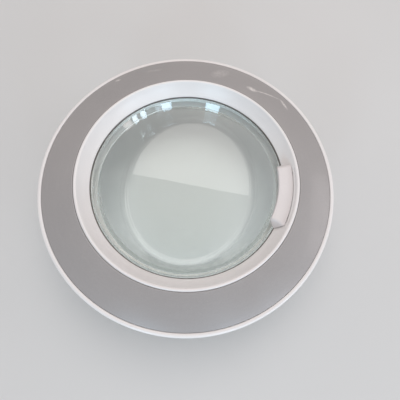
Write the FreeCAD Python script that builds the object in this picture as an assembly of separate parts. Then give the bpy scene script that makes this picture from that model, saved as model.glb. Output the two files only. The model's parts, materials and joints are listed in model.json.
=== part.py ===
import FreeCAD, Part
import math
import os

# Sizes are in millimetres and degrees. Every piece is drawn about the door's own axis, with +X towards the
# handle, +Y towards the top of the door, +Z out of its front and z = 0 at the widest plane of the rim. save()
# then moves the pieces so that the origin is the middle of the hinge's screw pattern on the machine's panel.

# Front frame: rim, skirt, ridge and funnel
DOOR_RADIUS = 200.0
RIM_WIDTH = 5.5
RIM_CROWN = 2.6
RIM_SHOULDER = 1.5
SKIRT_DEPTH = 13.0
SKIRT_DRAFT = 1.5
FRAME_WALL = 2.6
RING_BAND = 52.0
RIDGE_WIDTH = 4.4
RIDGE_HEIGHT = 18.8
RIDGE_SHOULDER = 1.6
RIDGE_PEAK_SHARE = 0.45
FUNNEL_WIDTH = 11.3
FUNNEL_FOOT = 1.4
FUNNEL_SAG = 0.5
FOOT_WIDTH = 3.6

# Decor ring and its locating pegs
DECOR_WALL = 2.4
DECOR_GAP = 0.2
DECOR_EDGE_HEIGHT = 2.0
DECOR_RIDGE_STEP = 1.2
DECOR_BULGE = 1.6
PEG_COUNT = 8
PEG_RADIUS = 2.0
PEG_LENGTH = 4.5

# Glass bowl and its seal
SEAL_PLANE = -1.0
SEAL_THICKNESS = 2.0
SEAL_WIDTH = 6.0
SEAL_PROUD = 1.2
GLASS_WALL = 5.0
FLANGE_OVERLAP = 18.7
NECK_STEP = 3.3
NECK_DEPTH = 12.0
NECK_ROUND = 2.5
NECK_DRAFT = 8.5
BOWL_DEPTH = 49.0
FLOOR_SLOPE = 0.2
FLOOR_SIDE_INSET = 22.5
FLOOR_TOP_INSET = 9.5
FLOOR_SHIFT = 6.0
FLOOR_ROUND = 9.0

# Back frame
BACK_DEPTH = 10.0
BACK_WALL = 2.6
BACK_NEST = 6.0
BACK_CORNER = 8.0
NEST_GAP = 0.3
BOWL_GAP = 1.0
SUPPORT_INSET = 9.4
SUPPORT_WALL = 2.6

# Screws that join the two frames
SCREW_COUNT = 8
SCREW_RADIUS = 2.0
SCREW_HEAD_RADIUS = 4.0
SCREW_HEAD_HEIGHT = 2.6
SCREW_LENGTH = 16.0
SCREW_GAP = 0.05
PILOT_SPARE = 1.0
BOSS_RADIUS = 4.6
BOSS_RISE = 8.0
WELL_RADIUS = 4.6
WELL_DEPTH = 4.0
WELL_WALL = 1.8

# Countersunk screws of the hinge arm and the latch bracket
FLAT_HEAD_RADIUS = 3.8
FLAT_HEAD_HEIGHT = 2.0
FLAT_GAP = 0.1

# Handle and its pocket
FINGER_HALF_LENGTH = 30.4
GRIP_END = 1.0
HANDLE_END_LEAN = 30.0
POCKET_ROOM = 3.8
POCKET_SIDE_ANGLE = 2.0
POCKET_WALL = 2.4
POCKET_EDGE = 0.2
GRIP_OVERHANG = 10.8
GRIP_DROP = 5.4
GRIP_CROWN = 0.8
GRIP_WALL = 3.0
GRIP_LIP = 5.0
HANDLE_GAP = 0.5
HANDLE_ROOM = 0.7
PIVOT_INSET = 2.0
PIVOT_DROP = 12.8
PIN_RADIUS = 2.5
RUNNING_GAP = 0.05
HUB_WALL = 1.4
LEVER_OVERLAP = 0.9
LEVER_HEEL = 17.0
LEVER_WALL = 5.0
LEVER_GAP = 0.6
PIN_EAR_WALL = 4.5
TAIL_REACH = 10.0
TAIL_DROP = 5.5
TAIL_HALF_WIDTH = 5.0
TAIL_ROUND = 2.0

# Latch hook and its bracket
HOOK_RISE = 12.0
HOOK_HALF_WIDTH = 5.5
HOOK_REACH = 31.0
HOOK_NOSE = 11.0
HOOK_NOSE_WALL = 2.0
HOOK_NOSE_RISE = 6.0
HOOK_NOSE_ROOT = 4.0
HOOK_SHANK_INNER = 3.0
HOOK_SHANK_OUTER = 5.0
HOOK_BEVEL = 2.0
HOOK_ARM_WALL = 3.5
HOOK_ARM_SPARE = 1.0
HOOK_HUB_RADIUS = 5.5
CAM_GAP = 0.4
RIVET_LIP = 1.0
RIVET_HEIGHT = 1.2
LATCH_WALL = 2.0
LATCH_EAR_EDGE = 4.0
LATCH_EAR_SPREAD = 1.0
LATCH_EAR_INNER = 13.2
LATCH_HALF_WIDTH = 22.0
LATCH_INNER_REACH = 20.0
LATCH_OUTER_REACH = 11.5
LATCH_SCREW_INSET = 6.0
SLOT_INNER_REACH = 12.5
SLOT_OUTER_REACH = 9.5
SLOT_GAP = 1.5

# Springs
WIRE_RADIUS = 0.6
LEG_STEP = 0.03
COIL_RADIUS = 3.6
COIL_PITCH = 1.5
COIL_TURNS = 3

# Hinge
HINGE_INSET = 12.0
HINGE_RISE = 13.5
KNUCKLE_HALF = 13.5
BUSH_WALL = 1.5
BUSH_FLANGE = 0.9
EAR_WALL = 1.6
EAR_THICKNESS = 7.0
SIDE_GAP = 0.1
GOOSE_RADIUS = 11.5
GOOSE_WIDTH = 6.0
GOOSE_LEAN = 58.0
PANEL_GAP = 1.0
PLATE_THICKNESS = 3.0
PLATE_INSET = 8.0
PLATE_EDGE = 10.0
PLATE_CORNER = 6.0
HINGE_HOLE_RADIUS = 2.75
HINGE_SINK_RADIUS = 4.8
HINGE_HOLE_INSET = 30.0
HINGE_SPACING_X = 24.0
HINGE_SPACING_Y = 68.0
HINGE_OPENING_GAP = 2.0
ARM_PLATE_WALL = 4.0
ARM_PLATE_WIDTH = 19.0
ARM_PLATE_HALF_LENGTH = 28.0
ARM_SCREW_SPACING = 20.0
ARM_SCREW_LENGTH = 6.2
PIN_HEAD_RADIUS = 4.0
PIN_HEAD_HEIGHT = 1.4
CLIP_RADIUS = 4.4
CLIP_WALL = 0.8

# Values that follow from the ones above
SEAT_OUTER = DOOR_RADIUS - RIM_WIDTH
SEAT_DEPTH = DECOR_WALL + DECOR_GAP
WEB_DEPTH = SEAT_DEPTH + FRAME_WALL
RIDGE_RADIUS = DOOR_RADIUS - RING_BAND
RIDGE_INNER = RIDGE_RADIUS - RIDGE_WIDTH
RIDGE_INNER_Z = RIDGE_HEIGHT - RIDGE_SHOULDER
BAND_MIDDLE = (SEAT_OUTER + RIDGE_RADIUS) / 2
OPENING_RADIUS = RIDGE_INNER - FUNNEL_WIDTH
FUNNEL_Z = SEAL_PLANE + FUNNEL_FOOT
FLANGE_TOP = SEAL_PLANE - SEAL_THICKNESS
FLANGE_BOTTOM = FLANGE_TOP - GLASS_WALL
FLANGE_RADIUS = OPENING_RADIUS + FLANGE_OVERLAP
NECK_RADIUS = OPENING_RADIUS - NECK_STEP
NECK_Z = FLANGE_TOP - NECK_DEPTH
BOWL_RADIUS = NECK_RADIUS - NECK_DRAFT
FLOOR_Z = NECK_Z - BOWL_DEPTH
FLOOR_HALF_WIDTH = BOWL_RADIUS - FLOOR_SIDE_INSET
FLOOR_HALF_HEIGHT = BOWL_RADIUS - FLOOR_TOP_INSET
BACK_PLANE = -SKIRT_DEPTH - BACK_DEPTH
BACK_TOP = BACK_NEST - SKIRT_DEPTH
BACK_INSIDE = BACK_PLANE + BACK_WALL
BACK_OUTER = DOOR_RADIUS - SKIRT_DRAFT - FRAME_WALL - NEST_GAP
SUPPORT_OUTER = FLANGE_RADIUS - SUPPORT_INSET
BOSS_FACE = BACK_PLANE + BOSS_RISE
WINDOW_RADIUS = RIDGE_INNER - POCKET_EDGE
POCKET_OUTER = WINDOW_RADIUS + POCKET_WALL
PIVOT_X = RIDGE_RADIUS + PIVOT_INSET
PIVOT_Z = RIDGE_HEIGHT - PIVOT_DROP
GRIP_INNER_RADIUS = OPENING_RADIUS - GRIP_OVERHANG
GRIP_TOP = RIDGE_HEIGHT - GRIP_DROP
BORE_RADIUS = PIN_RADIUS + RUNNING_GAP
HUB_RADIUS = BORE_RADIUS + HUB_WALL
LEVER_INNER = FINGER_HALF_LENGTH - LEVER_OVERLAP
LEVER_OUTER = LEVER_INNER + LEVER_WALL
HANDLE_HALF_ANGLE = math.degrees(math.asin((LEVER_OUTER + GRIP_END) / GRIP_INNER_RADIUS))
FINGER_HALF_ANGLE = math.degrees(math.asin(FINGER_HALF_LENGTH / GRIP_INNER_RADIUS))
POCKET_HALF_ANGLE = math.degrees(math.asin((LEVER_OUTER + POCKET_ROOM) / WINDOW_RADIUS))
HOOK_X = (PIVOT_X + BACK_OUTER) / 2
HOOK_Z = BACK_PLANE + HOOK_RISE
HOOK_TIP_Z = BACK_PLANE - HOOK_REACH
HINGE_X = HINGE_INSET - DOOR_RADIUS
HINGE_Z = BACK_PLANE + HINGE_RISE
BUSH_RADIUS = BORE_RADIUS + BUSH_WALL
EAR_RADIUS = BUSH_RADIUS + EAR_WALL
EAR_INNER = KNUCKLE_HALF + BUSH_FLANGE + 2 * SIDE_GAP
EAR_OUTER = EAR_INNER + EAR_THICKNESS
GOOSE_X = HINGE_X + GOOSE_RADIUS * math.cos(math.radians(GOOSE_LEAN))
GOOSE_Z = HINGE_Z - GOOSE_RADIUS * math.sin(math.radians(GOOSE_LEAN))
GOOSE_LEG_X = GOOSE_X + GOOSE_RADIUS
PLATE_TOP = BACK_PLANE - PANEL_GAP
PANEL_PLANE = PLATE_TOP - PLATE_THICKNESS
HINGE_HOLES_X = HINGE_X + HINGE_HOLE_INSET
OPENING_X = GOOSE_LEG_X + GOOSE_WIDTH / 2 + HINGE_OPENING_GAP
OPENING_HALF = EAR_OUTER + PIN_HEAD_HEIGHT + HINGE_OPENING_GAP
ARM_PLATE_X = OPENING_X + SCREW_RADIUS / 2
ARM_SCREW_X = ARM_PLATE_X + ARM_PLATE_WIDTH / 2
LATCH_SCREW_Y = LATCH_HALF_WIDTH - FLAT_HEAD_RADIUS
LATCH_SCREW_X = (HOOK_X - LATCH_INNER_REACH + LATCH_SCREW_INSET, HOOK_X + LATCH_SCREW_INSET)
LATCH_SCREW_LENGTH = BACK_WALL + LATCH_WALL

Vector = FreeCAD.Vector
BEND = math.sqrt(0.5)
UP = Vector(0, 0, 1)
ALONG = Vector(0, 1, 0)


def point(place):
    """Point of the XZ plane at (radius, height)."""
    return Vector(place[0], 0, place[1])


def section(start, *steps):
    """Closed face in the XZ plane. A step is a corner, or a pair (via, end) for an arc."""
    edges, here = [], start
    for step in steps + (start,):
        if isinstance(step[0], tuple):
            via, end = step
            edges.append(Part.Arc(point(here), point(via), point(end)).toShape())
        else:
            end = step
            if end != here:
                edges.append(Part.makeLine(point(here), point(end)))
        here = end
    return Part.Face(Part.Wire(edges))


def lathe(face, half_angle=180.0):
    """Turn a section about the door's axis, evenly to both sides of +X."""
    turned = face.copy()
    turned.rotate(Vector(), UP, -half_angle)
    return turned.revolve(Vector(), UP, 2 * half_angle)


def prism(face, low, high):
    """Extrude a section along Y."""
    moved = face.copy()
    moved.translate(ALONG * low)
    return moved.extrude(ALONG * (high - low))


def block(x_span, y_span, z_span):
    """Box between three pairs of limits."""
    low = Vector(x_span[0], y_span[0], z_span[0])
    return Part.makeBox(x_span[1] - x_span[0], y_span[1] - y_span[0], z_span[1] - z_span[0], low)


def rod(radius, x, z, low, high):
    """Cylinder along Y."""
    return Part.makeCylinder(radius, high - low, Vector(x, low, z), ALONG)


def post(radius, place, low, high):
    """Cylinder along Z at a plan position."""
    return Part.makeCylinder(radius, high - low, Vector(place[0], place[1], low), UP)


def taper(low_radius, high_radius, place, low, high):
    """Cone along Z at a plan position."""
    return Part.makeCone(low_radius, high_radius, high - low, Vector(place[0], place[1], low), UP)


def fused(shapes):
    """One solid from shapes that meet."""
    return shapes[0].fuse(shapes[1:]).removeSplitter()


def around(radius, count, first=0.0):
    """Plan positions spread evenly on a circle."""
    angles = [math.radians(first + 360.0 * index / count) for index in range(count)]
    return [(radius * math.cos(angle), radius * math.sin(angle)) for angle in angles]


def mirrored(shape):
    """Shape on the other side of the XZ plane."""
    return shape.mirror(Vector(), ALONG)


def dome_arc():
    """Centre and radius of the arc that the decor ring's front follows."""
    outer = (SEAT_OUTER, DECOR_EDGE_HEIGHT)
    inner = (RIDGE_RADIUS, RIDGE_HEIGHT - DECOR_RIDGE_STEP)
    run, rise = outer[0] - inner[0], inner[1] - outer[1]
    chord = math.hypot(run, rise)
    radius = (chord ** 2 / 4 + DECOR_BULGE ** 2) / (2 * DECOR_BULGE)
    reach = radius - DECOR_BULGE
    middle = ((outer[0] + inner[0]) / 2, (outer[1] + inner[1]) / 2)
    return (middle[0] - reach * rise / chord, middle[1] - reach * run / chord), radius


DOME_CENTRE, DOME_RADIUS = dome_arc()


def dome(radius, depth):
    """Point under the decor ring's front, at a radius and a depth below it."""
    height = math.sqrt((DOME_RADIUS - depth) ** 2 - (radius - DOME_CENTRE[0]) ** 2)
    return (radius, DOME_CENTRE[1] + height)


def funnel_radius(z):
    """Radius of the funnel's straight line at a height."""
    share = (z - FUNNEL_Z) / (RIDGE_INNER_Z - FUNNEL_Z)
    return OPENING_RADIUS + share * (RIDGE_INNER - OPENING_RADIUS)


def neck_inside(z):
    """Radius of the inside of the glass neck at a height."""
    return NECK_RADIUS + (BOWL_RADIUS - NECK_RADIUS) * (FLANGE_TOP - z) / NECK_DEPTH


SIDE_WALL = GLASS_WALL * math.hypot(1, (NECK_RADIUS - BOWL_RADIUS) / NECK_DEPTH)
BACK_INNER = max(neck_inside(BACK_INSIDE), BOWL_RADIUS) + SIDE_WALL + BOWL_GAP
WELL_FLOOR = BACK_PLANE + WELL_DEPTH
SCREW_PLACES = around(BAND_MIDDLE, SCREW_COUNT, 180.0 / SCREW_COUNT)
ARM_SCREW_PLACES = [(ARM_SCREW_X, offset * ARM_SCREW_SPACING) for offset in (-1, 0, 1)]
LATCH_SCREW_PLACES = [(x, side * LATCH_SCREW_Y) for x in LATCH_SCREW_X for side in (-1, 1)]


def front_frame():
    """White moulding with rim, decor seat, ridge, funnel, handle pocket, pin ears and screw bosses."""
    middle = BAND_MIDDLE
    skirt_inner = DOOR_RADIUS - SKIRT_DRAFT - FRAME_WALL
    web_outer = DOOR_RADIUS - FRAME_WALL
    ridge_foot = RIDGE_RADIUS - RIDGE_WIDTH / 2
    funnel_middle = (
        (OPENING_RADIUS + RIDGE_INNER) / 2 + FUNNEL_SAG,
        (FUNNEL_Z + RIDGE_INNER_Z) / 2 - FUNNEL_SAG,
    )
    body = lathe(section(
        (DOOR_RADIUS - SKIRT_DRAFT, -SKIRT_DEPTH),
        (DOOR_RADIUS, -RIM_SHOULDER),
        ((DOOR_RADIUS - RIM_WIDTH / 2, RIM_CROWN), dome(SEAT_OUTER, 0)),
        dome(SEAT_OUTER, SEAT_DEPTH),
        (dome(middle, SEAT_DEPTH), dome(RIDGE_RADIUS, SEAT_DEPTH)),
        dome(RIDGE_RADIUS, 0),
        ((RIDGE_RADIUS - RIDGE_WIDTH * RIDGE_PEAK_SHARE, RIDGE_HEIGHT), (RIDGE_INNER, RIDGE_INNER_Z)),
        (funnel_middle, (OPENING_RADIUS, FUNNEL_Z)),
        (OPENING_RADIUS, SEAL_PLANE),
        (OPENING_RADIUS + FOOT_WIDTH, SEAL_PLANE),
        dome(ridge_foot, WEB_DEPTH),
        (dome(middle, WEB_DEPTH), dome(web_outer, WEB_DEPTH)),
        (skirt_inner, -SKIRT_DEPTH),
    ))
    pocket_top = funnel_radius(RIDGE_INNER_Z / 2 + PIVOT_Z / 2) + FRAME_WALL / 2
    pocket = lathe(section(
        (OPENING_RADIUS + FRAME_WALL / 2, SEAL_PLANE),
        (POCKET_OUTER, SEAL_PLANE),
        dome(POCKET_OUTER, WEB_DEPTH),
        (pocket_top, RIDGE_INNER_Z / 2 + PIVOT_Z / 2),
    ), POCKET_HALF_ANGLE + POCKET_SIDE_ANGLE)
    wall_radius = grip_outer() + HANDLE_ROOM
    window = lathe(section(
        (GRIP_INNER_RADIUS, FLANGE_TOP), (wall_radius, FLANGE_TOP), (wall_radius, GRIP_TOP),
        (WINDOW_RADIUS, GRIP_TOP + WINDOW_RADIUS - wall_radius),
        (WINDOW_RADIUS, RIDGE_HEIGHT), (GRIP_INNER_RADIUS, RIDGE_HEIGHT),
    ), POCKET_HALF_ANGLE)
    under_web = lathe(section(
        (SUPPORT_OUTER, BOSS_FACE), (SEAT_OUTER, BOSS_FACE), dome(SEAT_OUTER, SEAT_DEPTH + FRAME_WALL / 2),
        (dome(middle, SEAT_DEPTH + FRAME_WALL / 2), dome(SUPPORT_OUTER, SEAT_DEPTH + FRAME_WALL / 2)),
    ))
    ear_span = (LEVER_OUTER + LEVER_GAP, LEVER_OUTER + LEVER_GAP + PIN_EAR_WALL)
    ear = block((PIVOT_X - HUB_RADIUS, PIVOT_X + HUB_RADIUS), ear_span, (PIVOT_Z - HUB_RADIUS, RIDGE_HEIGHT))
    bosses = [post(BOSS_RADIUS, place, BOSS_FACE, RIDGE_HEIGHT) for place in SCREW_PLACES]
    added = [shape.common(under_web) for shape in bosses + [ear, mirrored(ear)]]
    slot = block(
        (GRIP_INNER_RADIUS, PIVOT_X),
        (LEVER_INNER - LEVER_GAP, LEVER_OUTER + LEVER_GAP),
        (PIVOT_Z - HUB_RADIUS - LEVER_GAP, PIVOT_Z + HUB_RADIUS + 4 * LEVER_GAP),
    )
    spring_y = spring_middle() - COIL_TURNS * COIL_PITCH / 2
    anchor = Part.makeCylinder(
        WIRE_RADIUS + DECOR_GAP, 2 * POCKET_WALL,
        Vector(POCKET_OUTER - 2 * POCKET_WALL, spring_y, PIVOT_Z - COIL_RADIUS), Vector(1, 0, 0),
    )
    frame = fused([body, pocket]).cut([window, slot, mirrored(slot), anchor])
    frame = fused([frame] + added)
    pilots = [
        post(SCREW_RADIUS + SCREW_GAP, place, BOSS_FACE, WELL_FLOOR + SCREW_LENGTH + PILOT_SPARE)
        for place in SCREW_PLACES
    ]
    bore = rod(PIN_RADIUS + SCREW_GAP, PIVOT_X, PIVOT_Z, -ear_span[1], ear_span[1])
    peg_holes = [post(PEG_RADIUS + DECOR_GAP, place, BOSS_FACE, RIDGE_HEIGHT) for place in peg_places()]
    return frame.cut(pilots + [bore] + peg_holes)


def peg_places():
    """Plan positions of the decor ring's pegs, clear of the frame screws, the handle and the hinge."""
    return around(BAND_MIDDLE, PEG_COUNT, 90.0 / PEG_COUNT)


def spring_middle():
    """Middle of the handle spring along the pin, between the tail and the lever."""
    return (TAIL_HALF_WIDTH + LEVER_INNER) / 2


def decor_ring():
    """Silver-grey inlay ring with pegs on its underside."""
    outer, inner = SEAT_OUTER - DECOR_GAP, RIDGE_RADIUS + DECOR_GAP
    middle = (outer + inner) / 2
    ring = lathe(section(
        dome(inner, DECOR_WALL), (dome(middle, DECOR_WALL), dome(outer, DECOR_WALL)),
        dome(outer, 0), (dome(middle, 0), dome(inner, 0)),
    ))
    top = dome(middle, DECOR_WALL / 2)[1]
    bottom = dome(middle, DECOR_WALL)[1] - PEG_LENGTH
    return fused([ring] + [post(PEG_RADIUS, place, bottom, top) for place in peg_places()])


def bowl_form(side_wall, floor_wall, top):
    """Solid bowl with its side moved out and its floor moved down by the given walls."""
    ring_radius = BOWL_RADIUS + side_wall
    neck = lathe(section(
        (0, NECK_Z), (ring_radius, NECK_Z), (neck_inside(top) + side_wall, top), (0, top),
    ))
    rim = Part.makeCircle(ring_radius, Vector(0, 0, NECK_Z))
    rim.rotate(Vector(), UP, 90)
    drop = FLOOR_Z - floor_wall
    half_width, half_height = FLOOR_HALF_WIDTH + side_wall, FLOOR_HALF_HEIGHT + side_wall
    centre = Vector(0, FLOOR_SHIFT, drop + FLOOR_SLOPE * FLOOR_SHIFT)
    far = centre + Vector(0, half_height, FLOOR_SLOPE * half_height)
    oval = Part.Ellipse(far, centre - Vector(half_width, 0, 0), centre).toShape()
    bowl = Part.makeLoft([Part.Wire(rim), Part.Wire(oval)], True, True)
    floor = min(bowl.Faces, key=lambda face: face.CenterOfMass.z)
    bowl = bowl.makeFillet(FLOOR_ROUND + floor_wall, floor.Edges)
    return neck.fuse(bowl)


def door_glass():
    """Clear pressed glass: flange, neck and bowl with a flat slanted floor."""
    flange = lathe(section(
        (0, FLANGE_BOTTOM), (FLANGE_RADIUS, FLANGE_BOTTOM), (FLANGE_RADIUS, FLANGE_TOP), (0, FLANGE_TOP),
    ))
    outside = bowl_form(SIDE_WALL, GLASS_WALL * math.hypot(1, FLOOR_SLOPE), FLANGE_TOP)
    glass = flange.fuse(outside).cut(bowl_form(0, 0, FLANGE_TOP))
    mouth = [
        edge for edge in glass.Edges
        if isinstance(edge.Curve, Part.Circle) and abs(edge.Curve.Radius - NECK_RADIUS) < NEST_GAP
    ]
    return glass.makeFillet(NECK_ROUND, mouth).removeSplitter()


def glass_seal():
    """Rubber ring between the funnel's foot and the glass flange."""
    inner, outer = OPENING_RADIUS - SEAL_PROUD, OPENING_RADIUS - SEAL_PROUD + SEAL_WIDTH
    return lathe(section((inner, FLANGE_TOP), (outer, FLANGE_TOP), (outer, SEAL_PLANE), (inner, SEAL_PLANE)))


def back_frame():
    """White rear moulding that carries the glass flange, the hinge arm and the latch bracket."""
    corner = (BACK_OUTER - BACK_CORNER, BACK_PLANE + BACK_CORNER)
    inner_corner = BACK_CORNER - BACK_WALL
    support_inner = SUPPORT_OUTER - SUPPORT_WALL
    frame = lathe(section(
        (BACK_INNER, BACK_PLANE),
        (corner[0], BACK_PLANE),
        ((corner[0] + BACK_CORNER * BEND, corner[1] - BACK_CORNER * BEND), (BACK_OUTER, corner[1])),
        (BACK_OUTER, BACK_TOP),
        (BACK_OUTER - BACK_WALL, BACK_TOP),
        (BACK_OUTER - BACK_WALL, corner[1]),
        ((corner[0] + inner_corner * BEND, corner[1] - inner_corner * BEND), (corner[0], BACK_INSIDE)),
        (SUPPORT_OUTER, BACK_INSIDE),
        (SUPPORT_OUTER, FLANGE_BOTTOM),
        (support_inner, FLANGE_BOTTOM),
        (support_inner, BACK_INSIDE),
        (BACK_INNER, BACK_INSIDE),
    ))
    towers = [post(WELL_RADIUS + WELL_WALL, place, BACK_PLANE, BOSS_FACE) for place in SCREW_PLACES]
    wells = [post(WELL_RADIUS, place, BACK_PLANE, WELL_FLOOR) for place in SCREW_PLACES]
    holes = [post(SCREW_RADIUS + 2 * FLAT_GAP, place, WELL_FLOOR, BOSS_FACE) for place in SCREW_PLACES]
    flat_places = ARM_SCREW_PLACES + LATCH_SCREW_PLACES
    flat_holes = [flat_form(place, LATCH_SCREW_LENGTH, FLAT_GAP) for place in flat_places]
    slots = [hook_slot(BACK_PLANE, BACK_INSIDE), hinge_opening()]
    return fused([frame] + towers).cut(wells + holes + flat_holes + slots)


def hinge_opening():
    """Space that the goose necks swing through."""
    return block((-DOOR_RADIUS, OPENING_X), (-OPENING_HALF, OPENING_HALF), (BACK_PLANE, BACK_TOP))


def hook_slot(low, high):
    """Space that the hook's shank swings in."""
    half = HOOK_HALF_WIDTH + SLOT_GAP
    return block((HOOK_X - SLOT_INNER_REACH, HOOK_X + SLOT_OUTER_REACH), (-half, half), (low, high))


def flat_form(place, length, gap=0.0):
    """Countersunk screw from the back plane, or the hole for one with a gap around it."""
    head = taper(FLAT_HEAD_RADIUS + gap, SCREW_RADIUS + gap, place, BACK_PLANE, BACK_PLANE + FLAT_HEAD_HEIGHT)
    return head.fuse(post(SCREW_RADIUS + gap, place, BACK_PLANE + FLAT_HEAD_HEIGHT, BACK_PLANE + length))


def cross_recess(place, low, depth, reach):
    """Cutter for the cross drive of a screw head whose face is at the low plane."""
    half = reach / 5
    first = block((-reach, reach), (-half, half), (low, low + depth))
    second = block((-half, half), (-reach, reach), (low, low + depth))
    cross = first.fuse(second)
    cross.translate(Vector(place[0], place[1], 0))
    return cross


def frame_screws():
    """Self-tapping screws in the wells of the back frame."""
    screws = []
    for place in SCREW_PLACES:
        face = WELL_FLOOR - SCREW_HEAD_HEIGHT
        head = post(SCREW_HEAD_RADIUS, place, face, WELL_FLOOR)
        shank = post(SCREW_RADIUS, place, WELL_FLOOR, WELL_FLOOR + SCREW_LENGTH)
        screws.append(head.fuse(shank).cut(cross_recess(place, face, SCREW_RADIUS, SCREW_RADIUS)))
    return Part.makeCompound(screws)


def flat_screws(places, length):
    """Countersunk screws with a cross recess."""
    return Part.makeCompound([
        flat_form(place, length).cut(cross_recess(place, BACK_PLANE, SCREW_RADIUS / 2, SCREW_RADIUS))
        for place in places
    ])


def grip_outer():
    """Outer radius of the grip's top, a gap inside the funnel."""
    return funnel_radius(GRIP_TOP) - HANDLE_GAP


def handle():
    """Curved grip with closed ends, two lever arms, a split hub on the pin and a tail for the hook."""
    inner, outer, low = GRIP_INNER_RADIUS, grip_outer(), FUNNEL_Z + HANDLE_GAP
    middle = (inner + outer) / 2
    foot = funnel_radius(low) - HANDLE_GAP
    edge = GRIP_WALL / 2
    under = GRIP_TOP - GRIP_WALL
    grip = lathe(section(
        (inner, GRIP_TOP - GRIP_LIP),
        (inner, GRIP_TOP - edge),
        ((inner + edge * (1 - BEND), GRIP_TOP - edge * (1 - BEND)), (inner + edge, GRIP_TOP)),
        ((middle, GRIP_TOP + GRIP_CROWN), (outer, GRIP_TOP)),
        (foot, low),
        (foot - edge, low),
    ), 2 * HANDLE_HALF_ANGLE)
    finger_room = lathe(section(
        (inner + GRIP_WALL, FLANGE_TOP),
        (WINDOW_RADIUS, FLANGE_TOP),
        (WINDOW_RADIUS, under),
        (inner + GRIP_WALL, under),
    ), FINGER_HALF_ANGLE)
    lip_room = lathe(section(
        (inner - edge, FLANGE_TOP), (inner + GRIP_WALL, FLANGE_TOP),
        (inner + GRIP_WALL, GRIP_TOP - GRIP_LIP), (inner - edge, GRIP_TOP - GRIP_LIP),
    ), FINGER_HALF_ANGLE)
    end = block((0, DOOR_RADIUS), (0, DOOR_RADIUS), (-DOOR_RADIUS, DOOR_RADIUS))
    end.rotate(Vector(0, 0, GRIP_TOP), Vector(1, 0, 0), HANDLE_END_LEAN)
    end.rotate(Vector(), UP, HANDLE_HALF_ANGLE)
    grip = grip.cut([end, mirrored(end), finger_room, lip_room])
    lever_top = PIVOT_Z + PIN_RADIUS
    lever_start = inner * math.cos(math.radians(HANDLE_HALF_ANGLE)) + GRIP_LIP
    lever_face = section(
        (lever_start, under + edge), (lever_start, under),
        (PIVOT_X - LEVER_HEEL, PIVOT_Z - HUB_RADIUS + edge),
        (PIVOT_X, PIVOT_Z - HUB_RADIUS), (PIVOT_X, lever_top),
        (outer * math.cos(math.radians(FINGER_HALF_ANGLE)) - edge / 2, lever_top),
        (outer * math.cos(math.radians(FINGER_HALF_ANGLE)) - edge, under + edge),
    )
    lever = prism(lever_face, LEVER_INNER, LEVER_OUTER)
    spring_low, spring_high = spring_room()
    hubs = [
        rod(HUB_RADIUS, PIVOT_X, PIVOT_Z, -LEVER_OUTER, spring_low),
        rod(HUB_RADIUS, PIVOT_X, PIVOT_Z, spring_high, LEVER_OUTER),
    ]
    nose = (PIVOT_X + TAIL_REACH, PIVOT_Z - TAIL_DROP)
    length = math.hypot(TAIL_REACH, TAIL_DROP)
    side = (TAIL_DROP / length * TAIL_ROUND, TAIL_REACH / length * TAIL_ROUND)
    tail = prism(section(
        (PIVOT_X + side[0], PIVOT_Z + side[1]), (nose[0] + side[0], nose[1] + side[1]),
        (nose[0] - side[0], nose[1] - side[1]), (PIVOT_X - side[0], PIVOT_Z - side[1]),
    ), -TAIL_HALF_WIDTH, TAIL_HALF_WIDTH)
    tip = rod(TAIL_ROUND, nose[0], nose[1], -TAIL_HALF_WIDTH, TAIL_HALF_WIDTH)
    lug = block(
        (lug_start(), lug_start() + GRIP_WALL), (0, spring_high),
        (PIVOT_Z - COIL_RADIUS + WIRE_RADIUS + FLAT_GAP, PIVOT_Z),
    )
    body = fused([grip, lever, mirrored(lever), tail, tip, lug] + hubs)
    return body.cut(rod(BORE_RADIUS, PIVOT_X, PIVOT_Z, -LEVER_OUTER, LEVER_OUTER))


def lug_start():
    """Where the handle's spring lug starts, just outside the coil."""
    return PIVOT_X + COIL_RADIUS + WIRE_RADIUS + 2 * FLAT_GAP


def spring_room():
    """Part of the handle pin that its spring takes up."""
    half = (COIL_TURNS * COIL_PITCH) / 2 + 2 * WIRE_RADIUS
    return spring_middle() - half, spring_middle() + half


def handle_pin():
    """Steel pin through the ears of the front frame."""
    end = LEVER_OUTER + LEVER_GAP + PIN_EAR_WALL
    return rod(PIN_RADIUS, PIVOT_X, PIVOT_Z, -end, end)


def coil(turns):
    """Helix of spring wire about Y, starting at the bottom and first moving towards +X."""
    path = Part.makeHelix(COIL_PITCH, COIL_PITCH * turns, COIL_RADIUS)
    corners = [Vector(COIL_RADIUS + x, 0, z) for x, z in around(WIRE_RADIUS, 6)]
    wire = Part.Wire(path).makePipeShell([Part.makePolygon(corners + corners[:1])], True, True)
    wire.rotate(Vector(), Vector(1, 0, 0), 90)
    wire = wire.mirror(Vector(), ALONG)
    wire.rotate(Vector(), ALONG, 90)
    return wire


def wire_leg(start, end):
    """Straight end of a spring, rooted a little way inside the coil."""
    run = end - start
    root = start - run / run.Length * WIRE_RADIUS
    return Part.makeCylinder(WIRE_RADIUS - LEG_STEP, run.Length + WIRE_RADIUS, root, run)


def handle_spring():
    """Torsion spring on the handle pin, anchored in the pocket wall and pressing the handle's lug up."""
    low = spring_middle() - COIL_TURNS * COIL_PITCH / 2
    high = low + COIL_TURNS * COIL_PITCH
    wire = coil(COIL_TURNS)
    wire.translate(Vector(PIVOT_X, low, PIVOT_Z))
    bottom = PIVOT_Z - COIL_RADIUS
    legs = [
        wire_leg(Vector(PIVOT_X, low, bottom), Vector(WINDOW_RADIUS + POCKET_WALL / 2, low, bottom)),
        wire_leg(Vector(PIVOT_X, high, bottom), Vector(lug_start() + GRIP_WALL, high, bottom)),
    ]
    return wire.fuse(legs)


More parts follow.
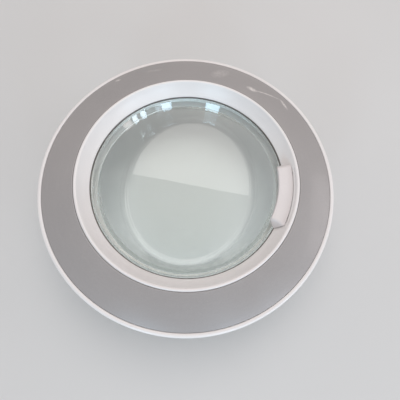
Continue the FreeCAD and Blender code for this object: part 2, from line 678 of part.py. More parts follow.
def latch_hook():
    """Cast hook: arm under the handle's tail, hub on the pin, shank and nose."""
    x, z, nose = HOOK_X, HOOK_Z, HOOK_X - HOOK_NOSE
    inner, outer = x - HOOK_SHANK_INNER, x + HOOK_SHANK_OUTER
    arm_top = PIVOT_Z - TAIL_DROP - TAIL_ROUND - CAM_GAP
    arm_end = PIVOT_X + TAIL_REACH - TAIL_ROUND
    tip, barb = HOOK_TIP_Z, HOOK_TIP_Z + HOOK_NOSE_RISE
    body = prism(section(
        (outer, z), (outer, tip + HOOK_BEVEL), (outer - HOOK_BEVEL, tip), (inner - HOOK_BEVEL, tip),
        (nose, barb), (nose, barb + HOOK_NOSE_WALL), (inner, barb + HOOK_NOSE_ROOT),
        (inner, z - HOOK_HUB_RADIUS), (x - HOOK_HUB_RADIUS, z),
        (arm_end, arm_top - HOOK_ARM_WALL), (arm_end, arm_top),
        (arm_end + 2 * TAIL_ROUND + HOOK_ARM_SPARE, arm_top), (x, z + HOOK_HUB_RADIUS),
    ), -HOOK_HALF_WIDTH, HOOK_HALF_WIDTH)
    room = LATCH_EAR_INNER - SIDE_GAP
    hub = rod(HOOK_HUB_RADIUS, x, z, -room, HOOK_HALF_WIDTH)
    lug = block(
        (arm_end, arm_end + 2 * TAIL_ROUND), (0, room - SIDE_GAP),
        (z + COIL_RADIUS + WIRE_RADIUS + FLAT_GAP, arm_top),
    )
    return fused([body, hub, lug]).cut(rod(BORE_RADIUS, x, z, -room, room))


def hook_pin():
    """Steel pin of the hook, riveted over at both ends."""
    end = LATCH_EAR_INNER + LATCH_WALL + FLAT_GAP
    head = rod(PIN_RADIUS + RIVET_LIP, HOOK_X, HOOK_Z, end, end + RIVET_HEIGHT)
    return fused([rod(PIN_RADIUS, HOOK_X, HOOK_Z, -end, end), head, mirrored(head)])


def hook_spring():
    """Torsion spring on the hook pin, standing on the bracket and pressing the hook's arm up."""
    turns = COIL_TURNS + 0.25
    low = (HOOK_HALF_WIDTH + LATCH_EAR_INNER - COIL_PITCH * turns) / 2
    high = low + COIL_PITCH * turns
    wire = coil(turns)
    wire.rotate(Vector(), ALONG, -90)
    wire.translate(Vector(HOOK_X, low, HOOK_Z))
    right, top = HOOK_X + COIL_RADIUS, HOOK_Z + COIL_RADIUS
    legs = [
        wire_leg(Vector(right, low, HOOK_Z), Vector(right, low, BACK_INSIDE + LATCH_WALL + FLAT_GAP)),
        wire_leg(Vector(HOOK_X, high, top), Vector(PIVOT_X + TAIL_REACH - TAIL_ROUND, high, top)),
    ]
    return wire.fuse(legs)


def latch_bracket():
    """Steel carrier of the hook: base with a slot and two ears."""
    base_top = BACK_INSIDE + LATCH_WALL
    base = block(
        (HOOK_X - LATCH_INNER_REACH, HOOK_X + LATCH_OUTER_REACH), (-LATCH_HALF_WIDTH, LATCH_HALF_WIDTH),
        (BACK_INSIDE, base_top),
    )
    radius = PIN_RADIUS + LATCH_EAR_EDGE
    foot = radius + LATCH_EAR_SPREAD
    ear_face = section(
        (HOOK_X + foot, BACK_INSIDE), (HOOK_X + radius, HOOK_Z),
        ((HOOK_X, HOOK_Z + radius), (HOOK_X - radius, HOOK_Z)), (HOOK_X - foot, BACK_INSIDE),
    )
    ear = prism(ear_face, LATCH_EAR_INNER, LATCH_EAR_INNER + LATCH_WALL)
    end = LATCH_EAR_INNER + 2 * LATCH_WALL
    holes = [post(SCREW_RADIUS + SCREW_GAP, place, BACK_INSIDE, base_top) for place in LATCH_SCREW_PLACES]
    cuts = holes + [hook_slot(BACK_INSIDE, base_top), rod(PIN_RADIUS + SCREW_GAP, HOOK_X, HOOK_Z, -end, end)]
    return fused([base, ear, mirrored(ear)]).cut(cuts)


def hinge_arm():
    """Door side of the hinge: plate on the back frame's inside, neck and knuckle."""
    knuckle = EAR_RADIUS
    plate_top = BACK_INSIDE + ARM_PLATE_WALL
    plate = block(
        (ARM_PLATE_X, ARM_PLATE_X + ARM_PLATE_WIDTH), (-ARM_PLATE_HALF_LENGTH, ARM_PLATE_HALF_LENGTH),
        (BACK_INSIDE, plate_top),
    )
    neck = prism(section(
        (ARM_PLATE_X + ARM_PLATE_WIDTH / 4, BACK_INSIDE), (GOOSE_X, BACK_INSIDE),
        (HINGE_X - knuckle * BEND, HINGE_Z - knuckle * BEND), (HINGE_X, HINGE_Z + knuckle),
        (GOOSE_X + GOOSE_WIDTH, HINGE_Z + knuckle / 2), (ARM_PLATE_X + ARM_PLATE_WIDTH / 4, plate_top),
    ), -KNUCKLE_HALF, KNUCKLE_HALF)
    hub = rod(knuckle, HINGE_X, HINGE_Z, -KNUCKLE_HALF, KNUCKLE_HALF)
    bore = rod(PIN_RADIUS + SCREW_GAP, HINGE_X, HINGE_Z, -KNUCKLE_HALF, KNUCKLE_HALF)
    holes = [post(SCREW_RADIUS + SCREW_GAP, place, BACK_INSIDE, plate_top) for place in ARM_SCREW_PLACES]
    return fused([plate, neck, hub]).cut([bore] + holes)


def goose_neck():
    """Ear of the hinge bracket: eye, bend and leg down to the plate."""
    inner, outer = GOOSE_RADIUS - GOOSE_WIDTH / 2, GOOSE_RADIUS + GOOSE_WIDTH / 2

    def place(radius, degrees):
        angle = math.radians(degrees)
        return (GOOSE_X + radius * math.cos(angle), GOOSE_Z + radius * math.sin(angle))

    start = 180.0 - GOOSE_LEAN
    bend = prism(section(
        place(inner, 0), (place(inner, start / 2), place(inner, start)),
        place(outer, start), (place(outer, start / 2), place(outer, 0)),
        (GOOSE_X + outer, PLATE_TOP), (GOOSE_X + inner, PLATE_TOP),
    ), EAR_INNER, EAR_OUTER)
    return bend.fuse(rod(EAR_RADIUS, HINGE_X, HINGE_Z, EAR_INNER, EAR_OUTER))


def hinge_bracket():
    """Machine side of the hinge: screw plate with two goose-neck ears."""
    half = HINGE_SPACING_Y / 2 + PLATE_EDGE
    x_span = (HINGE_X + PLATE_INSET, HINGE_HOLES_X + HINGE_SPACING_X / 2 + PLATE_EDGE)
    plate = block(x_span, (-half, half), (PANEL_PLANE, PLATE_TOP))
    upright = [edge for edge in plate.Edges if abs(edge.tangentAt(edge.FirstParameter).z) > 0.5]
    plate = plate.makeFillet(PLATE_CORNER, upright)
    neck = goose_neck()
    cuts = [rod(BUSH_RADIUS, HINGE_X, HINGE_Z, -EAR_OUTER, EAR_OUTER)]
    sink_depth = HINGE_SINK_RADIUS - HINGE_HOLE_RADIUS
    for side_x in (-0.5, 0.5):
        for side_y in (-0.5, 0.5):
            place = (HINGE_HOLES_X + side_x * HINGE_SPACING_X, side_y * HINGE_SPACING_Y)
            cuts.append(post(HINGE_HOLE_RADIUS, place, PANEL_PLANE, PLATE_TOP))
            cuts.append(taper(HINGE_HOLE_RADIUS, HINGE_SINK_RADIUS, place, PLATE_TOP - sink_depth, PLATE_TOP))
    return fused([plate, neck, mirrored(neck)]).cut(cuts)


def hinge_bush():
    """Flanged plastic bush in the upper ear."""
    flange_radius = EAR_RADIUS - FLAT_GAP
    flange = rod(flange_radius, HINGE_X, HINGE_Z, EAR_INNER - BUSH_FLANGE, EAR_INNER)
    sleeve = rod(BUSH_RADIUS, HINGE_X, HINGE_Z, EAR_INNER, EAR_OUTER)
    return fused([flange, sleeve]).cut(rod(BORE_RADIUS, HINGE_X, HINGE_Z, EAR_INNER - BUSH_FLANGE, EAR_OUTER))


def hinge_pin():
    """Steel pin with a head above the upper ear and a clip groove below the lower one."""
    head_low = EAR_OUTER + SIDE_GAP
    end = EAR_OUTER + SIDE_GAP + PIN_HEAD_HEIGHT
    groove_high = -EAR_OUTER - SIDE_GAP
    shank = rod(PIN_RADIUS, HINGE_X, HINGE_Z, -end, head_low)
    head = rod(PIN_HEAD_RADIUS, HINGE_X, HINGE_Z, head_low, end)
    groove = rod(PIN_RADIUS, HINGE_X, HINGE_Z, groove_high - CLIP_WALL, groove_high)
    core = rod(PIN_RADIUS - CLIP_WALL / 2, HINGE_X, HINGE_Z, groove_high - CLIP_WALL, groove_high)
    return fused([shank, head]).cut(groove.cut(core))


def pin_clip():
    """Open retaining clip in the groove of the hinge pin."""
    high = -EAR_OUTER - SIDE_GAP
    low = high - CLIP_WALL
    ring = rod(CLIP_RADIUS, HINGE_X, HINGE_Z, low, high)
    core = rod(PIN_RADIUS - CLIP_WALL / 2, HINGE_X, HINGE_Z, low, high)
    half = PIN_RADIUS - CLIP_WALL
    mouth = block((HINGE_X, HINGE_X + CLIP_RADIUS), (low, high), (HINGE_Z - half, HINGE_Z + half))
    return ring.cut([core, mouth])


def save(node, shape):
    """Move a piece to the part's frame and write it."""
    moved = shape.copy()
    moved.translate(Vector(-HINGE_HOLES_X, 0, -PANEL_PLANE))
    moved.exportStep(os.path.join("parts", node + ".step"))


def main():
    os.makedirs("parts", exist_ok=True)
    bush = hinge_bush()
    pieces = {
        "front_frame": front_frame(),
        "decor_ring": decor_ring(),
        "door_glass": door_glass(),
        "glass_seal": glass_seal(),
        "back_frame": back_frame(),
        "frame_screws": frame_screws(),
        "handle": handle(),
        "handle_pin": handle_pin(),
        "handle_spring": handle_spring(),
        "latch_hook": latch_hook(),
        "hook_pin": hook_pin(),
        "hook_spring": hook_spring(),
        "latch_bracket": latch_bracket(),
        "latch_screws": flat_screws(LATCH_SCREW_PLACES, LATCH_SCREW_LENGTH),
        "hinge_arm": hinge_arm(),
        "arm_screws": flat_screws(ARM_SCREW_PLACES, ARM_SCREW_LENGTH),
        "hinge_bracket": hinge_bracket(),
        "hinge_pin": hinge_pin(),
        "pin_clip": pin_clip(),
        "hinge_bush_upper": bush,
        "hinge_bush_lower": mirrored(bush),
    }
    for node, shape in pieces.items():
        save(node, shape)


main()
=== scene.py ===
"""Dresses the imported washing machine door: smooth meshes, finishes, floor, lights and camera.

Sizes are in millimetres in the door's own frame: the axis of the glass is the Z axis, +X points to the
handle, +Y to the top of the door, and z = 0 is the widest plane of the rim. The bench turns them into
metres in the part's frame.
"""
import json
import logging
import math
from abc import ABC, abstractmethod
from dataclasses import dataclass
from enum import Enum
from typing import Any, Iterable, Sequence

import bmesh
import bpy
from mathutils import Matrix, Vector


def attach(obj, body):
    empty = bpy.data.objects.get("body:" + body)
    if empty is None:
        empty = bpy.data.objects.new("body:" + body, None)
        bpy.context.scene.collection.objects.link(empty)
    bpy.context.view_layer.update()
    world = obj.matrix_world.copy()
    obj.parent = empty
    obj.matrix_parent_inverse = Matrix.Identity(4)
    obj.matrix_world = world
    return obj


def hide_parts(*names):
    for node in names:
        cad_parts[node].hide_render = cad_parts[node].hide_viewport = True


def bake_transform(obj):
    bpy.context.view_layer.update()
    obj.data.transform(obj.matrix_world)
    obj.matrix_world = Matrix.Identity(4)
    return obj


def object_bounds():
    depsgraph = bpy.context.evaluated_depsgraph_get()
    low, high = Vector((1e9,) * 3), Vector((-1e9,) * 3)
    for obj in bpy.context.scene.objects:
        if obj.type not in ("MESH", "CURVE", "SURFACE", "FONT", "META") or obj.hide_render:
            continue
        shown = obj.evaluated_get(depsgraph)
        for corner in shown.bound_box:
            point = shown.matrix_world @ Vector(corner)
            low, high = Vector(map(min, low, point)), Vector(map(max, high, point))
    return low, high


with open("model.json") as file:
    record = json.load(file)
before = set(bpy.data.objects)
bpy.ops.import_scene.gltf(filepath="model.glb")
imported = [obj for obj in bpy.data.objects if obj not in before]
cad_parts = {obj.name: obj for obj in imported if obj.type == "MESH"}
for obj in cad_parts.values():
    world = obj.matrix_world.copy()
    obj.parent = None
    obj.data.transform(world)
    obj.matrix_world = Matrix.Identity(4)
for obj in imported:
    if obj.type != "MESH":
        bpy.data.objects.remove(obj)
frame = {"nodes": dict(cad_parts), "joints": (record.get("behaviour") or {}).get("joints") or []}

Point = tuple[float, float]
Spot = tuple[float, float, float]
Colour = tuple[float, float, float]

CAD_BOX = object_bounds()
LOG = logging.getLogger("door")
# Metres in a millimetre.
MM = 0.001
# Share of the radius at the middle of a quarter circle.
BEND = math.sqrt(0.5)
UNIT: Point = (0.0, 1.0)
# Points that are nearer to each other than this, in metres, are one point.
MERGE_GAP = 2e-6
# How far a cutter passes through a wall, and how far past a face that it is flush with.
OVERSHOOT = 1.0
FACE_PASS = 0.01
HOLE_SIDES = 24


class Body(Enum):
    """Moving bodies of the door, by their names in the frame."""

    BRACKET = "bracket"
    DOOR = "door"
    HANDLE = "handle"
    HOOK = "hook"


class Cut(Enum):
    """What a boolean tool does to a piece."""

    JOIN = "UNION"
    TAKE = "DIFFERENCE"


class Slot(Enum):
    """Material slots of the record."""

    WHITE = "white_plastic"
    HANDLE = "handle_plastic"
    SILVER = "silver_paint"
    GLASS = "clear_glass"
    RUBBER = "seal_rubber"
    ZINC = "zinc_steel"
    BRIGHT = "bright_steel"
    SPRING = "spring_steel"
    CAST = "cast_zinc"
    BUSH = "bush_plastic"


def circle(sides: int) -> list[Point]:
    """Cosine and sine of evenly spaced angles."""
    return [(math.cos(math.tau * k / sides), math.sin(math.tau * k / sides)) for k in range(sides)]


def around(radius: float, count: int, first: float) -> list[Point]:
    """Plan positions spread evenly on a circle, from a first angle in degrees."""
    angles = [math.radians(first + 360.0 * k / count) for k in range(count)]
    return [(radius * math.cos(a), radius * math.sin(a)) for a in angles]


def opaque(colour: Any) -> Any:
    """Colour with full cover, or the socket that gives a colour."""
    return colour if isinstance(colour, bpy.types.NodeSocket) else (*colour, 1.0)


def toned(colour: Colour, gain: float) -> Colour:
    """Colour made lighter or darker, and kept within range."""
    return tuple(min(1.0, gain * channel) for channel in colour)


@dataclass(frozen=True)
class Twist:
    """Where along a spring the turn passes from the body that carries it to a second body."""

    body: Body
    start: Spot
    end: Spot

    @classmethod
    def between(cls, body: Body, path: Sequence[Spot], wire_radius: float) -> "Twist":
        """Turn between a spring's two legs, which stay straight.

        Args:
            body: Body that the last leg follows.
            path: Middle of the spring's wire, wound round Y, with a leg at each end.
            wire_radius: Radius of the wire.

        Returns:
            The turn, along Y.
        """
        return cls(body, (0.0, path[0][1] + wire_radius, 0.0), (0.0, path[-1][1] - wire_radius, 0.0))


@dataclass(frozen=True)
class DoorSizes:
    """Sizes of the door that several pieces share."""

    hinge_x: float = -188.0
    hinge_z: float = -9.5
    rim_radius: float = 200.0
    rim_width: float = 5.5
    rim_crown: float = 2.6
    rim_shoulder: float = 1.5
    skirt_depth: float = 13.0
    skirt_draft: float = 1.5
    wall: float = 2.6
    ridge_radius: float = 148.0
    ridge_width: float = 4.4
    ridge_height: float = 18.8
    ridge_shoulder: float = 1.6
    opening_radius: float = 132.3
    funnel_foot: float = 0.4
    funnel_sag: float = 0.5
    foot_width: float = 3.6
    seal_plane: float = -1.0
    seal_thickness: float = 2.0
    decor_wall: float = 2.4
    decor_gap: float = 0.2
    decor_edge: float = 2.0
    decor_step: float = 1.2
    decor_bulge: float = 1.6
    back_plane: float = -23.0
    back_wall: float = 2.6
    boss_face: float = -15.0
    pivot_x: float = 150.0
    pivot_z: float = 6.0
    hook_x: float = 172.8
    hook_z: float = -11.0

    @property
    def seat_outer(self) -> float:
        """Outer radius of the seat of the silver ring."""
        return self.rim_radius - self.rim_width

    @property
    def seat_depth(self) -> float:
        """Depth of the seat under the front of the silver ring."""
        return self.decor_wall + self.decor_gap

    @property
    def web_depth(self) -> float:
        """Depth of the back of the web under the front of the silver ring."""
        return self.seat_depth + self.wall

    @property
    def band_middle(self) -> float:
        """Middle radius of the silver ring, where the screws and pegs stand."""
        return (self.seat_outer + self.ridge_radius) / 2

    @property
    def ridge_inner(self) -> float:
        """Inner radius of the rounded lip."""
        return self.ridge_radius - self.ridge_width

    @property
    def ridge_inner_z(self) -> float:
        """Height where the funnel starts under the rounded lip."""
        return self.ridge_height - self.ridge_shoulder

    @property
    def flange_top(self) -> float:
        """Front plane of the glass flange."""
        return self.seal_plane - self.seal_thickness

    @property
    def back_inside(self) -> float:
        """Inner plane of the rear moulding."""
        return self.back_plane + self.back_wall

    def funnel_radius(self, z: float) -> float:
        """Radius of the funnel's straight line at a height."""
        share = (z - self.funnel_foot) / (self.ridge_inner_z - self.funnel_foot)
        return self.opening_radius + share * (self.ridge_inner - self.opening_radius)

    def dome(self, radius: float, depth: float) -> Point:
        """Point below the domed front of the silver ring.

        Args:
            radius: Distance from the door's axis.
            depth: Depth below the front, along the dome's own radius.

        Returns:
            Radius and height of the point.
        """
        run = self.seat_outer - self.ridge_radius
        rise = self.ridge_height - self.decor_step - self.decor_edge
        chord = math.hypot(run, rise)
        dome_radius = (chord ** 2 / 4 + self.decor_bulge ** 2) / (2 * self.decor_bulge)
        reach = dome_radius - self.decor_bulge
        centre_r = self.band_middle - reach * rise / chord
        centre_z = self.decor_edge + rise / 2 - reach * run / chord
        height = math.sqrt((dome_radius - depth) ** 2 - (radius - centre_r) ** 2)
        return radius, centre_z + height

    def dome_line(self, start: float, end: float, depth: float, steps: int) -> list[Point]:
        """Points along the dome from one radius to another, at one depth."""
        return [self.dome(start + (end - start) * k / steps, depth) for k in range(steps + 1)]


DOOR = DoorSizes()


class Outline:
    """Outline in the (radius, height) plane, drawn corner by corner.

    A rounded corner takes up no more than a set share of the sides beside it.
    """

    side_share: float = 0.45

    def __init__(self) -> None:
        """Start with no corners; each has a radius, a height and a rounding."""
        self.corners: list[tuple[float, float, float]] = []

    def corner(self, r: float, z: float, rounding: float = 0.0) -> None:
        """Add a corner, rounded by a radius if one is given."""
        self.corners.append((r, z, rounding))

    def run(self, points: Iterable[Point]) -> None:
        """Add points of a curve that is already smooth."""
        self.corners.extend((r, z, 0.0) for r, z in points)

    def arc(self, via: Point, end: Point, steps: int, rounding: float = 0.0) -> None:
        """Add an arc from the last corner through a point to an end.

        Args:
            via: Point that the arc passes through.
            end: Last point of the arc.
            steps: Number of short lines that stand for it.
            rounding: Rounding of the corner at its end.
        """
        (ax, ay), (bx, by), (cx, cy) = self.corners[-1][:2], via, end
        d = 2 * (ax * (by - cy) + bx * (cy - ay) + cx * (ay - by))
        a2, b2, c2 = ax * ax + ay * ay, bx * bx + by * by, cx * cx + cy * cy
        ux = (a2 * (by - cy) + b2 * (cy - ay) + c2 * (ay - by)) / d
        uy = (a2 * (cx - bx) + b2 * (ax - cx) + c2 * (bx - ax)) / d
        radius = math.hypot(ax - ux, ay - uy)
        first = math.atan2(ay - uy, ax - ux)
        middle = (math.atan2(by - uy, bx - ux) - first) % math.tau
        last = (math.atan2(cy - uy, cx - ux) - first) % math.tau
        if middle > last:
            last -= math.tau
        angles = [first + last * k / steps for k in range(1, steps + 1)]
        self.run((ux + radius * math.cos(a), uy + radius * math.sin(a)) for a in angles)
        self.corners[-1] = (*self.corners[-1][:2], rounding)

    def points(self, steps: int = 5) -> list[Point]:
        """Points of the outline with its corners rounded.

        Args:
            steps: Number of short lines for a rounded corner.

        Returns:
            Radius and height of each point, in order.
        """
        made: list[Point] = []
        count = len(self.corners)
        for index, (r, z, rounding) in enumerate(self.corners):
            if rounding <= 0:
                made.append((r, z))
                continue
            here = Vector((r, z))
            before = Vector(self.corners[index - 1][:2]) - here
            after = Vector(self.corners[(index + 1) % count][:2]) - here
            half = before.angle(after) / 2
            trim = min(rounding / math.tan(half), self.side_share * min(before.length, after.length))
            radius = trim * math.tan(half)
            toward = (before.normalized() + after.normalized()).normalized()
            centre = here + toward * (radius / math.sin(half))
            first = here + before.normalized() * trim - centre
            last = here + after.normalized() * trim - centre
            turn = first.angle_signed(last)
            for k in range(steps + 1):
                spoke = first.copy()
                spoke.rotate(Matrix.Rotation(-turn * k / steps, 2))
                made.append(tuple(centre + spoke))
        return made


class Bench:
    """Turns outlines in the door's frame into meshes in the part's frame."""

    rod_sides: int = 48
    wedge_step: float = 1.0
    solid_merge_gap: float = 1e-5
    flat_degrees: float = 0.4
    sharp_degrees: float = 35.0
    round_segments: int = 3
    solid_smooth_degrees: float = 40.0

    def __init__(self) -> None:
        """Find the door's axis from the hinge joint."""
        swing = next(joint for joint in frame["joints"] if joint["name"] == "door_swing")
        self.origin = Vector(swing["pos_m"]) - Vector((DOOR.hinge_x, 0.0, DOOR.hinge_z)) * MM

    def place(self, point: Sequence[float]) -> Vector:
        """Point of the door's frame as metres in the part's frame."""
        return self.origin + Vector(point) * MM

    def linked(self, name: str, mesh: bpy.types.Mesh) -> bpy.types.Object:
        """Object of a mesh, linked to the scene.

        Args:
            name: Name of the object.
            mesh: Its mesh.

        Returns:
            The object.
        """
        made = bpy.data.objects.new(name, mesh)
        bpy.context.scene.collection.objects.link(made)
        return made

    def turn_out(self, mesh: bpy.types.Mesh) -> None:
        """Merge the doubles of a closed mesh and turn its faces outwards.

        Args:
            mesh: The mesh.
        """
        work = bmesh.new()
        work.from_mesh(mesh)
        bmesh.ops.remove_doubles(work, verts=work.verts, dist=MERGE_GAP)
        bmesh.ops.recalc_face_normals(work, faces=work.faces)
        work.to_mesh(mesh)
        work.free()

    def loft(
        self, name: str, loops: Sequence[Sequence[Sequence[float]]], capped: bool = True,
    ) -> bpy.types.Object:
        """Closed skin over loops of the same number of points.

        Args:
            name: Name of the object.
            loops: Loops of points in the door's frame.
            capped: Whether the first and last loops are filled.

        Returns:
            The object, with its faces turned outwards.
        """
        count = len(loops[0])
        points = [self.place(point) for loop in loops for point in loop]
        faces: list[Sequence[int]] = []
        for row in range(len(loops) - 1):
            for k in range(count):
                low, next_low = row * count + k, row * count + (k + 1) % count
                faces.append((low, next_low, next_low + count, low + count))
        if capped:
            faces.append(tuple(range(count)))
            faces.append(tuple(range(len(points) - count, len(points))))
        mesh = bpy.data.meshes.new(name)
        mesh.from_pydata(points, [], faces)
        self.turn_out(mesh)
        return self.linked(name, mesh)

    def wedge(self, outline: Sequence[Point], half_angle: float) -> bpy.types.Object:
        """Outline turned about the door's axis, evenly to both sides of +X, with flat ends.

        Args:
            outline: Radius and height of each corner.
            half_angle: Angle to each side, in degrees.

        Returns:
            The object.
        """
        count = max(2, round(2 * half_angle / self.wedge_step))
        angles = [math.radians(half_angle * (2 * k / count - 1)) for k in range(count + 1)]
        loops = [[(r * math.cos(a), r * math.sin(a), z) for r, z in outline] for a in angles]
        return self.loft("wedge", loops)

    def prism(self, outline: Sequence[Point], low: float, high: float) -> bpy.types.Object:
        """Outline in the XZ plane drawn out along Y."""
        return self.loft("prism", [[(x, y, z) for x, z in outline] for y in (low, high)])

    def block(self, x: Point, y: Point, z: Point) -> bpy.types.Object:
        """Box between three pairs of limits."""
        return self.prism([(x[0], z[0]), (x[1], z[0]), (x[1], z[1]), (x[0], z[1])], *y)

    def rod(self, radius: float, x: float, z: float, low: float, high: float) -> bpy.types.Object:
        """Cylinder along Y."""
        outline = [(x + radius * c, z + radius * s) for c, s in circle(self.rod_sides)]
        return self.prism(outline, low, high)

    def turned(self, place: Point, steps: Sequence[Point], sides: int = 40) -> bpy.types.Object:
        """Solid turned about an upright line.

        Args:
            place: Plan position of the line.
            steps: Radius and height of each ring, from bottom to top.
            sides: Number of sides.

        Returns:
            The object.
        """
        x, y = place
        loops = [[(x + r * c, y + r * s, z) for c, s in circle(sides)] for r, z in steps]
        return self.loft("turned", loops)

    def carve(self, piece: bpy.types.Object, cut: Cut, tools: Sequence[bpy.types.Object]) -> None:
        """Join tools to a piece or take them from it, and remove the tools.

        Args:
            piece: Object whose mesh is changed.
            cut: What each tool does.
            tools: Closed mesh objects.
        """
        for tool in tools:
            step = piece.modifiers.new("tool", "BOOLEAN")
            step.operation = cut.value
            step.solver = "MANIFOLD"
            step.object = tool
        self.bake(piece)
        for tool in tools:
            bpy.data.meshes.remove(tool.data)

    def bake(self, piece: bpy.types.Object) -> bpy.types.Object:
        """Make what the modifiers of a piece give its own plain mesh.

        Args:
            piece: Object with modifiers, which are removed.

        Returns:
            The same object.
        """
        bpy.context.view_layer.update()
        graph = bpy.context.evaluated_depsgraph_get()
        mesh = bpy.data.meshes.new_from_object(piece.evaluated_get(graph), depsgraph=graph)
        piece.modifiers.clear()
        old = piece.data
        piece.data = mesh
        mesh.name = piece.name
        bpy.data.meshes.remove(old)
        return piece

    def smooth(self, piece: bpy.types.Object, degrees: float = 32.0) -> bpy.types.Object:
        """Shade a piece smooth, with its wide faces flat up to their edges.

        Args:
            piece: The piece.
            degrees: Angle past which an edge stays sharp.

        Returns:
            The same object.
        """
        mesh = piece.data
        mesh.polygons.foreach_set("use_smooth", [True] * len(mesh.polygons))
        mesh.set_sharp_from_angle(angle=math.radians(degrees))
        step = piece.modifiers.new("even faces", "WEIGHTED_NORMAL")
        step.mode = "FACE_AREA"
        step.keep_sharp = True
        return self.bake(piece)

    def softened(self, node: str, name: str, rounding: float) -> bpy.types.Object:
        """Copy of a node's solid with its edges rounded.

        Args:
            node: Name of the node.
            name: Name of the new piece.
            rounding: Width of the rounding.

        Returns:
            The new object.
        """
        mesh = frame["nodes"][node].data.copy()
        mesh.materials.clear()
        work = bmesh.new()
        work.from_mesh(mesh)
        bmesh.ops.remove_doubles(work, verts=work.verts, dist=self.solid_merge_gap)
        bmesh.ops.dissolve_limit(
            work, angle_limit=math.radians(self.flat_degrees), use_dissolve_boundaries=False,
            verts=work.verts, edges=work.edges, delimit={"NORMAL"},
        )
        least = math.radians(self.sharp_degrees)
        sharp = [e for e in work.edges if e.is_manifold and e.calc_face_angle(0.0) > least]
        bmesh.ops.bevel(
            work, geom=sharp, offset=rounding * MM, offset_type="OFFSET", segments=self.round_segments,
            profile=0.5, affect="EDGES", clamp_overlap=True, loop_slide=True,
        )
        bmesh.ops.triangulate(work, faces=[f for f in work.faces if len(f.verts) > 4])
        work.to_mesh(mesh)
        work.free()
        mesh.name = name
        return self.smooth(self.linked(name, mesh), self.solid_smooth_degrees)


class NodeTree:
    """Adds nodes to a tree and links them."""

    def __init__(self, tree: bpy.types.NodeTree) -> None:
        """Keep the tree."""
        self.tree = tree

    def add(self, kind: str, inputs: dict[Any, Any] | None = None, **settings: Any) -> bpy.types.Node:
        """Add a node.

        Args:
            kind: Type of the node.
            inputs: Values or sockets for its inputs, by name or number.
            settings: Attributes of the node.

        Returns:
            The node.
        """
        node = self.tree.nodes.new(kind)
        for name, value in settings.items():
            setattr(node, name, value)
        for key, value in (inputs or {}).items():
            if isinstance(value, bpy.types.NodeSocket):
                self.tree.links.new(value, node.inputs[key])
            else:
                node.inputs[key].default_value = value
        return node

    def math(self, operation: str, first: Any, second: Any = 0.0) -> bpy.types.NodeSocket:
        """Result of a sum with one or two values."""
        return self.add("ShaderNodeMath", {0: first, 1: second}, operation=operation).outputs[0]

    def vector(self, operation: str, first: Any, second: Any) -> bpy.types.NodeSocket:
        """Result of a sum with two vectors."""
        return self.add("ShaderNodeVectorMath", {0: first, 1: second}, operation=operation).outputs[0]

    def combine(self, x: Any, y: Any, z: Any) -> bpy.types.NodeSocket:
        """Vector of three values."""
        return self.add("ShaderNodeCombineXYZ", {0: x, 1: y, 2: z}).outputs[0]

    def separate(self, vector: Any) -> bpy.types.NodeOutputs:
        """Three values of a vector."""
        return self.add("ShaderNodeSeparateXYZ", {0: vector}).outputs

    def spread(self, value: Any, source: Point = UNIT, target: Point = UNIT) -> bpy.types.NodeSocket:
        """Value moved from one range to another and kept inside it."""
        ranges = {1: source[0], 2: source[1], 3: target[0], 4: target[1]}
        return self.add("ShaderNodeMapRange", {0: value, **ranges}).outputs[0]

    def blend(self, share: Any, first: Any, second: Any) -> bpy.types.NodeSocket:
        """Mix of two colours."""
        inputs = {0: share, 6: opaque(first), 7: opaque(second)}
        return self.add("ShaderNodeMix", inputs, data_type="RGBA").outputs[2]

    def noise(self, vector: Any, scale: Any, detail: float, rough: float = 0.55) -> bpy.types.NodeSocket:
        """Value of a noise pattern."""
        inputs = {"Vector": vector, "Scale": scale, "Detail": detail, "Roughness": rough}
        return self.add("ShaderNodeTexNoise", inputs).outputs[0]


class GroupTree(NodeTree):
    """Node group with named inputs and one named output."""

    def __init__(self, name: str, kind: str, inputs: dict[str, str], output: tuple[str, str]) -> None:
        """Make the group.

        Args:
            name: Name of the group.
            kind: Type of the tree.
            inputs: Socket type of each named input.
            output: Name and socket type of the output.
        """
        super().__init__(bpy.data.node_groups.new(name, kind))
        face = self.tree.interface
        self.keys = {
            label: face.new_socket(label, in_out="INPUT", socket_type=socket).identifier
            for label, socket in inputs.items()
        }
        face.new_socket(output[0], in_out="OUTPUT", socket_type=output[1])
        self.given = self.add("NodeGroupInput").outputs

    def end(self, result: bpy.types.NodeSocket) -> bpy.types.NodeTree:
        """Give the group its result."""
        self.add("NodeGroupOutput", {0: result})
        return self.tree


